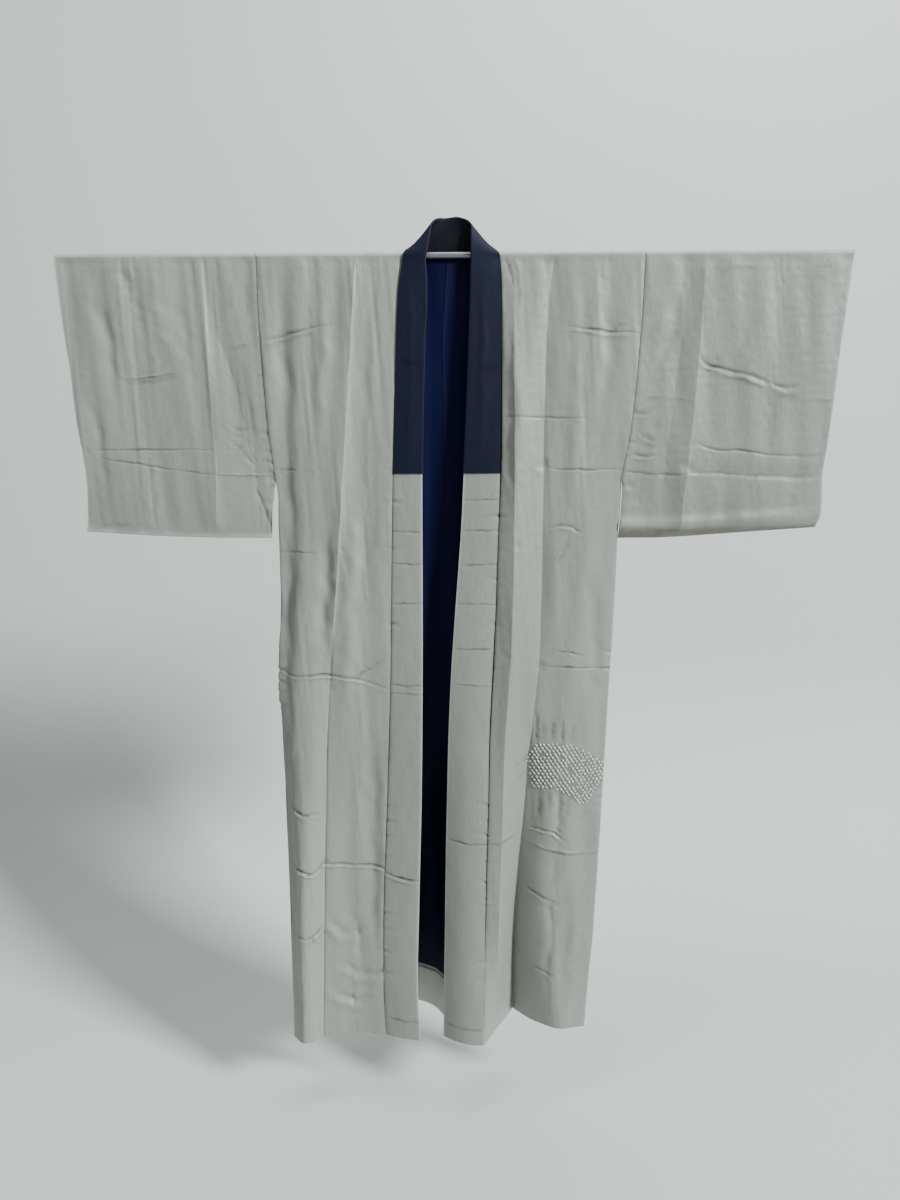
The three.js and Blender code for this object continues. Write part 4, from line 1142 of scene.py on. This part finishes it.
def curl_under(front, back, last_row):
    """The bottom of the left sleeve rounds forward and then in under the sleeve."""
    for rows, bulging in ((front, 1.0), (back, 0.0)):
        above = np.clip((rows[..., 2] - rows[-1:, :, 2]) / CURL["height"], 0, 1)
        bulge = np.sin(np.pi * above) ** 2 * CURL["bulge"] * bulging
        under = np.clip(1 - above * CURL["share"], 0, 1) ** 1.6 * CURL["under"]
        rows[..., 1] += curl_fade(rows) * (under - bulge)
    last_row[..., 1] += CURL["under"] * curl_fade(last_row)


# The collar and its cover

COLLAR_COLUMNS = 20
COVERED_ROWS = 70
COLLAR_ROWS = 500
NECK_STEPS = 6
COLLAR_START = 0.008
NECK_START = -0.035
COLLAR_BANDS = {
    "left": (-420, -473, -535, -605, -687, -750, -1050, -1417),
    "right": (-475, -533, -604, -754, -767, -1122, -1411),
}
FREE_EDGE_ROUND = 1.6


def collar_front_rows(side, heights):
    """The collar band of one front as rows of points from its seam to its free edge."""
    seam_line, free_line = FRONTS[side]["seam"], COLLARS[side]["free"]
    w = np.linspace(COLLAR_START, 1, COLLAR_COLUMNS)
    seam = np.stack([along(seam_line, "x", heights), along(seam_line, "y", heights), heights], -1)
    free = np.stack([along(free_line, "x", heights), along(free_line, "y", heights), heights], -1)
    rows = seam[:, None, :] * (1 - w)[None, :, None] + free[:, None, :] * w[None, :, None]
    rows[..., 1] -= along(COLLARS[side]["bow"], "y", heights)[:, None] * np.sin(np.pi * w)
    return rows


def neck_rows(before, after):
    """The collar's rows round the neck, on smooth curves from one front's top to the other's."""
    w = np.linspace(NECK_START, 1, COLLAR_COLUMNS)[:, None]
    knots = [np.array(seam) * (1 - w) + np.array(free) * w for seam, free in NECK]
    knots = [before[-1], *knots, after[0]]
    eased = [knots[0]]
    for i in range(1, len(knots) - 1):
        mean = (knots[i - 1] + knots[i + 1]) / 2
        eased.append(knots[i] * (1 - NECK_ROUNDING) + mean * NECK_ROUNDING)
    eased.append(knots[-1])
    chain = [before[-2], *eased, after[1]]
    rows = []
    for i in range(1, len(chain) - 2):
        first = 1 if i == 1 else 0
        for step in range(first, NECK_STEPS):
            rows.append(spline(*chain[i - 1:i + 3], step / NECK_STEPS))
    return np.array(rows)


def collar_relief(side, rows):
    """Heights, painted shade and painted highlights of the collar band on one front."""
    x, z = rows[..., 0], rows[..., 2]
    seed = BODY_SEEDS[side]
    height, mark = creased(COLLAR_CREASES[side], x, z, seed + 3)
    from_seam = np.abs(x - along(FRONTS[side]["seam"], "x", z))
    from_free = np.abs(x - along(COLLARS[side]["free"], "x", z))
    height += groove(from_seam) + puckered(COLLAR_PUCKERS[side], from_seam, z, seed)
    height += 0.25 * ripple(x, z, 61 + seed, 60, 170) + 0.07 * ripple(x, z, seed, 14, 18, 22)
    height -= 0.5 * np.exp(-((from_free / FREE_EDGE_ROUND) ** 2))
    mark = np.maximum(mark, SEAM_SHADE * np.exp(-from_seam / 1.6))
    # The free edge is painted paler: a painted highlight, partly wear.
    edge = 0.8 * np.exp(-from_free / 1.4)
    return height, mark, edge


def collar_parts():
    """The whole band: right front from the hem up, round the neck, and down the left front."""
    bands = {}
    for side in ("right", "left"):
        upper = spaced(COLLAR_TOP, -COVER_LENGTH, COVERED_ROWS)
        lower = spaced(-COVER_LENGTH, HEM, COLLAR_ROWS - COVERED_ROWS, COLLAR_BANDS[side])
        bands[side] = collar_front_rows(side, np.concatenate([upper, lower[1:]]))
    coarse = {side: collar_front_rows(side, np.array([COLLAR_TOP, -57.0])) for side in bands}
    neck = neck_rows(coarse["right"][::-1], coarse["left"])
    middle = np.concatenate([bands["right"][::-1], neck, bands["left"]])
    normals = outward(normals_of(middle), middle, COLLAR_ROWS // 2, -1)
    relief = {side: collar_relief(side, bands[side]) for side in bands}
    blank = np.zeros(neck.shape[:2])
    height, mark, edge = (
        np.concatenate([relief["right"][i][::-1], blank, relief["left"][i]]) for i in range(3)
    )
    return middle, normals, height, (mark, edge)


def cover_sheet(middle, normals):
    """The cover: a sheet over the collar's free edge, with a leaf on each face of the band."""
    first = COLLAR_ROWS - COVERED_ROWS - 1
    rows = middle[first:len(middle) - first]
    facing = normals[first:len(middle) - first]
    front = rows + facing * COVER_OFFSET
    back = (rows - facing * COVER_OFFSET)[:, ::-1]
    out = rows[:, -1] - rows[:, -2]
    out /= np.linalg.norm(out, axis=1, keepdims=True)
    turn = []
    for angle in (55, 25, 0, -25, -55):
        a = math.radians(angle)
        rim = rows[:, -1] + out * COVER_FOLD * math.cos(a)
        turn.append(rim + facing[:, -1] * COVER_OFFSET * math.sin(a))
    return np.concatenate([front, np.stack(turn, axis=1), back], axis=1)


def cover_parts(middle, normals):
    sheet = cover_sheet(middle, normals)
    facing = normals_of(sheet)
    row = len(sheet) // 6
    if facing[row, 4, 1] > 0:
        facing = -facing
    x, z = sheet[..., 0], sheet[..., 2]
    height = 0.16 * ripple(x, z, 71, 45, 120) + 0.05 * ripple(x, z, 72, 13, 16, 22)
    mark = np.zeros_like(height)
    columns = np.arange(sheet.shape[1])
    on_front = columns < COLLAR_COLUMNS
    for side, wanted in (("right", x < 0), ("left", x > 0)):
        crease_height, crease_mark = creased(COVER_CREASES[side], x, z, 3)
        height += np.where(wanted & on_front, crease_height, 0)
        mark += np.where(wanted & on_front, crease_mark, 0)
    height = np.maximum(height, -0.35)
    # The inside of the collar round the neck is painted dark: painted shade.
    neck_painted_shade = np.clip((z - COLLAR_TOP) / 14, 0, 1) * (columns > COLLAR_COLUMNS + 5)
    mark = np.maximum(mark, neck_painted_shade)
    on_fold = 0.7 * np.exp(-(((columns - COLLAR_COLUMNS - 1) / 1.6) ** 2))[None, :] + 0 * x
    return sheet, facing, height, (mark, on_fold)


# The lining and the hem facing

LINING_STEP = 2
LINING_STREAKS = 0.45
FACING_TOP = HEM + FACING_HEIGHT
LINING_WRAP_ROWS = 4
LINING_LAP = (-1.4, -0.5, 0)


def inner_skin(name, side, parts, low_z, high_z, seed):
    """A skin on the inside of the back, made from the back's own raised points."""
    middle, normals, heights, _ = parts
    start = FRONT_ROWS + WRAP_ROWS
    first = start - LINING_WRAP_ROWS if high_z > FACING_TOP else start
    z = middle[:, 0, 2]
    rows = [i for i in range(first, len(middle)) if low_z - 0.5 <= z[i] <= high_z + 0.5]
    last = middle.shape[1] - 1
    cols = list(range(5, last, LINING_STEP)) + [last]
    raised = (middle + normals * heights[..., None])[np.ix_(rows, cols)]
    facing = normals[np.ix_(rows, cols)]
    level = raised[..., 2]
    o = LINING_OFFSET
    share = np.clip((level - o["to"]) / (o["from"] - o["to"]), 0, 1)
    away = o["below"] + (o["at_rod"] - o["below"]) * share
    inward = raised - facing * away[..., None]
    inward[:, -1, 0] -= OUTWARD[side] * (SEAM_GAP / 2 - 0.05)
    if side == "left":
        inward[:, -1] += LINING_LAP
    streaks = LINING_STREAKS * ripple(raised[..., 0], level, seed, 13, 500) * (1 - share)
    fade = np.clip(np.abs(raised[..., 0] - raised[:, -1:, 0]) / 4, 0, 1)
    return shell(name, inward, facing, -np.abs(streaks) * fade, LINING_SILK)


# Materials

def new_material(name):
    material = bpy.data.materials.new(name)
    material.use_nodes = True
    tree = material.node_tree
    return material, tree.nodes, tree.links, tree.nodes["Principled BSDF"]


def scaled_coordinates(nodes, links, scale):
    where = nodes.new("ShaderNodeTexCoord")
    mapping = nodes.new("ShaderNodeMapping")
    mapping.inputs["Scale"].default_value = scale
    links.new(where.outputs["Object"], mapping.inputs["Vector"])
    return mapping.outputs["Vector"]


def noise(nodes, links, scale, detail=3.0, roughness=0.55):
    texture = nodes.new("ShaderNodeTexNoise")
    texture.inputs["Scale"].default_value = 1.0
    texture.inputs["Detail"].default_value = detail
    texture.inputs["Roughness"].default_value = roughness
    links.new(scaled_coordinates(nodes, links, scale), texture.inputs["Vector"])
    return texture.outputs["Fac"]


def ramp(nodes, links, value, low, high, colour_low, colour_high):
    node = nodes.new("ShaderNodeValToRGB")
    node.color_ramp.elements[0].position = low
    node.color_ramp.elements[1].position = high
    node.color_ramp.elements[0].color = (*colour_low, 1)
    node.color_ramp.elements[1].color = (*colour_high, 1)
    links.new(value, node.inputs["Fac"])
    return node.outputs["Color"]


def mix(nodes, links, factor, a, b, blend="MIX"):
    node = nodes.new("ShaderNodeMix")
    node.data_type = "RGBA"
    node.blend_type = blend
    if isinstance(factor, float):
        node.inputs["Factor"].default_value = factor
    else:
        links.new(factor, node.inputs["Factor"])
    for value, socket in ((a, node.inputs["A"]), (b, node.inputs["B"])):
        if isinstance(value, tuple):
            socket.default_value = (*value, 1)
        else:
            links.new(value, socket)
    return node.outputs["Result"]


def maths(nodes, links, operation, a, b):
    node = nodes.new("ShaderNodeMath")
    node.operation = operation
    for value, socket in ((a, node.inputs[0]), (b, node.inputs[1])):
        if isinstance(value, (int, float)):
            socket.default_value = value
        else:
            links.new(value, socket)
    return node.outputs[0]


def bumped(nodes, links, height, strength, distance, under=None):
    """A bump of so many metres, on top of another one if it is given."""
    node = nodes.new("ShaderNodeBump")
    node.inputs["Strength"].default_value = strength
    node.inputs["Distance"].default_value = distance
    links.new(height, node.inputs["Height"])
    if under is not None:
        links.new(under, node.inputs["Normal"])
    return node.outputs["Normal"]


WEAVE_DEPTH = 0.0001


def silk(name, pale, deep, painted_shade, edge_highlight_and_wear, roughness, specular, sheen, crepe=0.0003, rumpled=0.0012):
    """Silk with a fine crepe, thread lines down it, slow changes of tone, painted crease shade and
    painted edge highlights.
    """
    material, nodes, links, surface = new_material(name)
    slow = noise(nodes, links, (5, 5, 2.5), 4)
    tone = ramp(nodes, links, slow, 0.3, 0.7, deep, pale)
    slub = noise(nodes, links, (700, 700, 26), 2)
    streak = ramp(nodes, links, slub, 0.35, 0.7, (0.94, 0.94, 0.94), (1.04, 1.04, 1.04))
    cloth = mix(nodes, links, 1.0, tone, streak, "MULTIPLY")
    blotch = noise(nodes, links, (60, 60, 60), 3)
    firm = maths(nodes, links, "ADD", blotch, 0.3)
    # Attribute "crease" paints shade into the colour, and "edge" paints highlights, partly wear.
    for label, colour in (("crease", painted_shade), ("edge", edge_highlight_and_wear)):
        shade = nodes.new("ShaderNodeAttribute")
        shade.attribute_name = label
        amount = maths(nodes, links, "MULTIPLY", shade.outputs["Fac"], firm)
        cloth = mix(nodes, links, amount, cloth, colour)
    links.new(cloth, surface.inputs["Base Color"])
    grain = noise(nodes, links, (950, 950, 950), 2)
    weave = noise(nodes, links, (2600, 2600, 140), 1)
    fine = bumped(nodes, links, weave, 0.5, WEAVE_DEPTH)
    crinkle = bumped(nodes, links, grain, 0.6, crepe, fine)
    rumple = noise(nodes, links, (85, 85, 60), 3, 0.6)
    links.new(bumped(nodes, links, rumple, 0.7, rumpled, crinkle), surface.inputs["Normal"])
    uneven = noise(nodes, links, (30, 30, 12), 3)
    rough = maths(nodes, links, "MULTIPLY_ADD", uneven, 0.16)
    rough.node.inputs[2].default_value = roughness - 0.08
    links.new(rough, surface.inputs["Roughness"])
    surface.inputs["Sheen Weight"].default_value = sheen
    surface.inputs["Sheen Roughness"].default_value = 0.45
    surface.inputs["Specular IOR Level"].default_value = specular
    return material


def metal(name):
    material, nodes, links, surface = new_material(name)
    tone = ramp(
        nodes, links, noise(nodes, links, (4, 260, 260), 3), 0.3, 0.7,
        (0.20, 0.21, 0.22), (0.26, 0.27, 0.28),
    )
    links.new(tone, surface.inputs["Base Color"])
    surface.inputs["Metallic"].default_value = 0.4
    rough = noise(nodes, links, (9, 400, 400), 2)
    level = maths(nodes, links, "MULTIPLY_ADD", rough, 0.2)
    level.node.inputs[2].default_value = 0.25
    links.new(level, surface.inputs["Roughness"])
    return material


def plain(name, colour, roughness=0.9):
    material, _, _, surface = new_material(name)
    surface.inputs["Base Color"].default_value = (*colour, 1)
    surface.inputs["Roughness"].default_value = roughness
    return material


# Pieces

def finish_piece(obj, material, slot, *nodes):
    obj.data.materials.append(material)
    if nodes:
        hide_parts(*nodes)
    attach(obj, "root")
    return obj


def knot_places():
    """Where the patch's knots stand and how each lies: rows on the slant, then a net."""
    cx, cz = PATCH["centre"]
    slant = PATCH["slant"]
    rng = np.random.default_rng(83)
    places = []
    reach = PATCH["rows_each_way"]
    for row in range(-reach, reach + 1):
        for i in range(-reach, reach + 1):
            along_row = (i + (row % 2) / 2) * PATCH["pitch"] + rng.normal(0, 0.45)
            across_rows = row * PATCH["row_pitch"] + rng.normal(0, 0.4)
            x = cx + along_row * math.cos(slant) - across_rows * math.sin(slant)
            z = cz + along_row * math.sin(slant) + across_rows * math.cos(slant)
            crossed = x > PATCH["net_from"] and (i + row) % 2 == 0
            turn = (PATCH["cross_slant"] if crossed else slant) + rng.normal(0, 0.12)
            bare = any(math.hypot(x - bx, z - bz) < r for bx, bz, r in PATCH["bare"])
            if inside(PATCH["outline"], x, z) and not bare:
                places.append((x, z, turn))
    return places


def knots_on(body, material):
    """The patch's tied knots: small long domes that stand on the cloth, as one joined mesh."""
    bpy.context.view_layer.update()
    rng = np.random.default_rng(89)
    points, faces = [], []
    sides = KNOT["sides"]
    for x, z, turn in knot_places():
        hit, place, normal, _ = body.ray_cast(Vector((x * MM, -0.3, z * MM)), Vector((0, 1, 0)))
        if not hit:
            continue
        normal = np.array(normal)
        across_cloth = np.cross((0, 0, 1), -normal)
        across_cloth /= np.linalg.norm(across_cloth)
        up = np.cross(-normal, across_cloth)
        up *= np.sign(up[2])
        across_cloth *= np.sign(across_cloth[0])
        lengthways = across_cloth * math.cos(turn) + up * math.sin(turn)
        crossways = up * math.cos(turn) - across_cloth * math.sin(turn)
        size = rng.uniform(0.82, 1.12)
        first = len(points)
        for share, tall in KNOT_LEVELS:
            for step in range(sides):
                a = 2 * math.pi * step / sides
                ring = lengthways * KNOT["long"] * math.cos(a)
                ring = ring + crossways * KNOT["wide"] * math.sin(a)
                rise = normal * KNOT["tall"] * tall
                points.append(np.array(place) / MM + (ring * share + rise) * size)
        for level in range(len(KNOT_LEVELS) - 1):
            for step in range(sides):
                a = first + level * sides + step
                b = first + level * sides + (step + 1) % sides
                faces.append((a, b, b + sides, a + sides))
        faces.append(tuple(first + step for step in reversed(range(sides))))
        top = first + (len(KNOT_LEVELS) - 1) * sides
        faces.append(tuple(top + step for step in range(sides)))
    mesh = smooth_mesh("tie_dye_knots", [tuple(p * MM) for p in points], faces)
    return finish_piece(placed("tie_dye_knots", mesh), material, "celadon_silk")


def build_materials():
    # The pale colour of the "edge" attribute: painted highlights, partly wear, on folds and edges.
    pale_edge_highlight_and_wear = (0.56, 0.60, 0.54)
    return {
        "celadon": silk(
            "celadon_silk", (0.292, 0.306, 0.270), (0.246, 0.258, 0.226),
            (0.120, 0.116, 0.086), pale_edge_highlight_and_wear, 0.48, 0.5, 0.12,
        ),
        # A paler, greyer copy of the celadon silk for the hem facing: painted light where the facing
        # is lit.
        "facing": silk(
            "facing_silk_painted_lit", (0.52, 0.52, 0.48), (0.44, 0.44, 0.40), (0.22, 0.21, 0.18),
            pale_edge_highlight_and_wear, 0.5, 0.5, 0.1,
        ),
        "cover": silk(
            "navy_cover_silk", (0.0068, 0.0088, 0.0250), (0.0048, 0.0064, 0.0190),
            (0.0008, 0.0011, 0.0030), (0.015, 0.010, 0.019), 0.58, 0.16, 0.0, 0.0002, 0.0005,
        ),
        "lining": silk(
            "navy_lining_silk", (0.0020, 0.0030, 0.0330), (0.0010, 0.0016, 0.0210),
            (0.004, 0.006, 0.040), (0.02, 0.02, 0.06), 0.55, 0.12, 0.0, 0.0002, 0.0005,
        ),
        "knots": silk(
            "knot_silk", (0.60, 0.64, 0.57), (0.48, 0.51, 0.45), (0.36, 0.37, 0.32),
            pale_edge_highlight_and_wear, 0.55, 0.5, 0.2,
        ),
    }


def build_garment():
    cloth = build_materials()
    parts = {side: body_parts(side) for side in ("right", "left")}
    meet_at_centre(parts)
    body = {}
    for side in ("right", "left"):
        middle, normals, heights, marks = parts[side]
        name = "body_" + side
        body[side] = shell(name + "_cloth", middle, normals, heights, SILK, marks=marks)
        finish_piece(body[side], cloth["celadon"], "celadon_silk", name + "_front", name + "_back")
        middle, normals, heights, marks = sleeve_parts(side)
        name = "sleeve_" + side
        sleeve = shell(name + "_cloth", middle, normals, heights, SILK, True, marks)
        finish_piece(sleeve, cloth["celadon"], "celadon_silk", name + "_front", name + "_back")
    middle, normals, heights, marks = collar_parts()
    collar = shell("collar_cloth", middle, normals, heights, SILK, marks=marks)
    finish_piece(
        collar, cloth["celadon"], "celadon_silk",
        "collar_right", "collar_left", "collar_neck_right", "collar_neck_left",
    )
    sheet, facing, heights, marks = cover_parts(middle, normals)
    cover = shell("collar_cover_cloth", sheet, facing, heights, COVER_SILK, marks=marks)
    finish_piece(
        cover, cloth["cover"], "navy_cover",
        "collar_cover_right", "collar_cover_left", "cover_neck_right", "cover_neck_left",
    )
    for side in ("right", "left"):
        name = "lining_" + side
        lining = inner_skin(name + "_cloth", side, parts[side], FACING_TOP, 99, 131)
        finish_piece(lining, cloth["lining"], "navy_lining", name)
        name = "hem_facing_" + side
        facing_piece = inner_skin(name + "_cloth", side, parts[side], HEM, FACING_TOP, 137)
        finish_piece(facing_piece, cloth["facing"], "celadon_silk", name)
    knots_on(body["left"], cloth["knots"])
    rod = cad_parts["rod"]
    rod.data.materials.clear()
    rod.data.materials.append(metal("rod_metal"))


# The stage, light and camera

FLOOR = -1600.0
STAGE = {"half_width": 4000.0, "front": -3600.0, "back": 1100.0, "bend": 700.0, "top": 2600.0}
CAMERA = {"distance": 1560.0, "height": -380.0, "down": 8.0, "roll": 0.3, "lens": 26.01}


# Each light's name, place, target, size, power and colour, in metres and watts
LIGHTS = [
    ("key", (10.6, -7.4, 6.95), (0, 0, -0.55), (2.6, 2.6), 4100, (0.93, 0.98, 1.0)),
    ("fill", (-3.0, -3.2, 0.4), (0, 0, -0.7), (2.2, 2.2), 12, (1.0, 0.99, 0.97)),
    ("top", (0.25, -0.25, 1.7), (0.1, 0, 0), (2.6, 0.4), 46, (0.90, 1.0, 0.96)),
]
SKY = {"colour": (1.0, 0.97, 0.92, 1), "strength": 0.075}


def build_stage():
    """A pale floor that bends up into the backdrop."""
    s = STAGE
    line = [(s["front"], FLOOR), (s["back"] - s["bend"], FLOOR)]
    for step in range(1, 13):
        a = math.pi / 2 * step / 12
        line.append((
            s["back"] - s["bend"] * (1 - math.sin(a)),
            FLOOR + s["bend"] * (1 - math.cos(a)),
        ))
    line.append((s["back"], s["top"]))
    wide = s["half_width"]
    points = [(x * MM, y * MM, z * MM) for y, z in line for x in (-wide, wide)]
    faces = [(2 * i, 2 * i + 1, 2 * i + 3, 2 * i + 2) for i in range(len(line) - 1)]
    mesh = smooth_mesh("floor", points, faces)
    floor = placed("floor", mesh)
    mesh.materials.append(plain("floor_paint", (0.62, 0.62, 0.61)))


def area_light(name, place, target, size, power, colour=(1, 1, 1)):
    data = bpy.data.lights.new(name, "AREA")
    data.shape = "RECTANGLE"
    data.size, data.size_y = size
    data.energy = power
    data.color = colour
    light = placed(name, data)
    light.location = place
    light.rotation_euler = (Vector(target) - Vector(place)).to_track_quat("-Z", "Y").to_euler()


def build_light():
    for light in LIGHTS:
        area_light(*light)
    world = bpy.data.worlds.new("studio")
    world.use_nodes = True
    sky = world.node_tree.nodes["Background"]
    sky.inputs["Color"].default_value = SKY["colour"]
    sky.inputs["Strength"].default_value = SKY["strength"]
    bpy.context.scene.world = world


def build_camera():
    data = bpy.data.cameras.new("camera")
    data.lens = CAMERA["lens"]
    data.sensor_width = 36
    data.sensor_fit = "AUTO"
    camera = placed("camera", data)
    camera.location = (0, -CAMERA["distance"] * MM, CAMERA["height"] * MM)
    camera.rotation_mode = "XYZ"
    roll = math.radians(CAMERA["roll"])
    camera.rotation_euler = (math.radians(90 - CAMERA["down"]), roll, 0)
    bpy.context.scene.camera = camera


build_garment()
build_stage()
build_light()
build_camera()
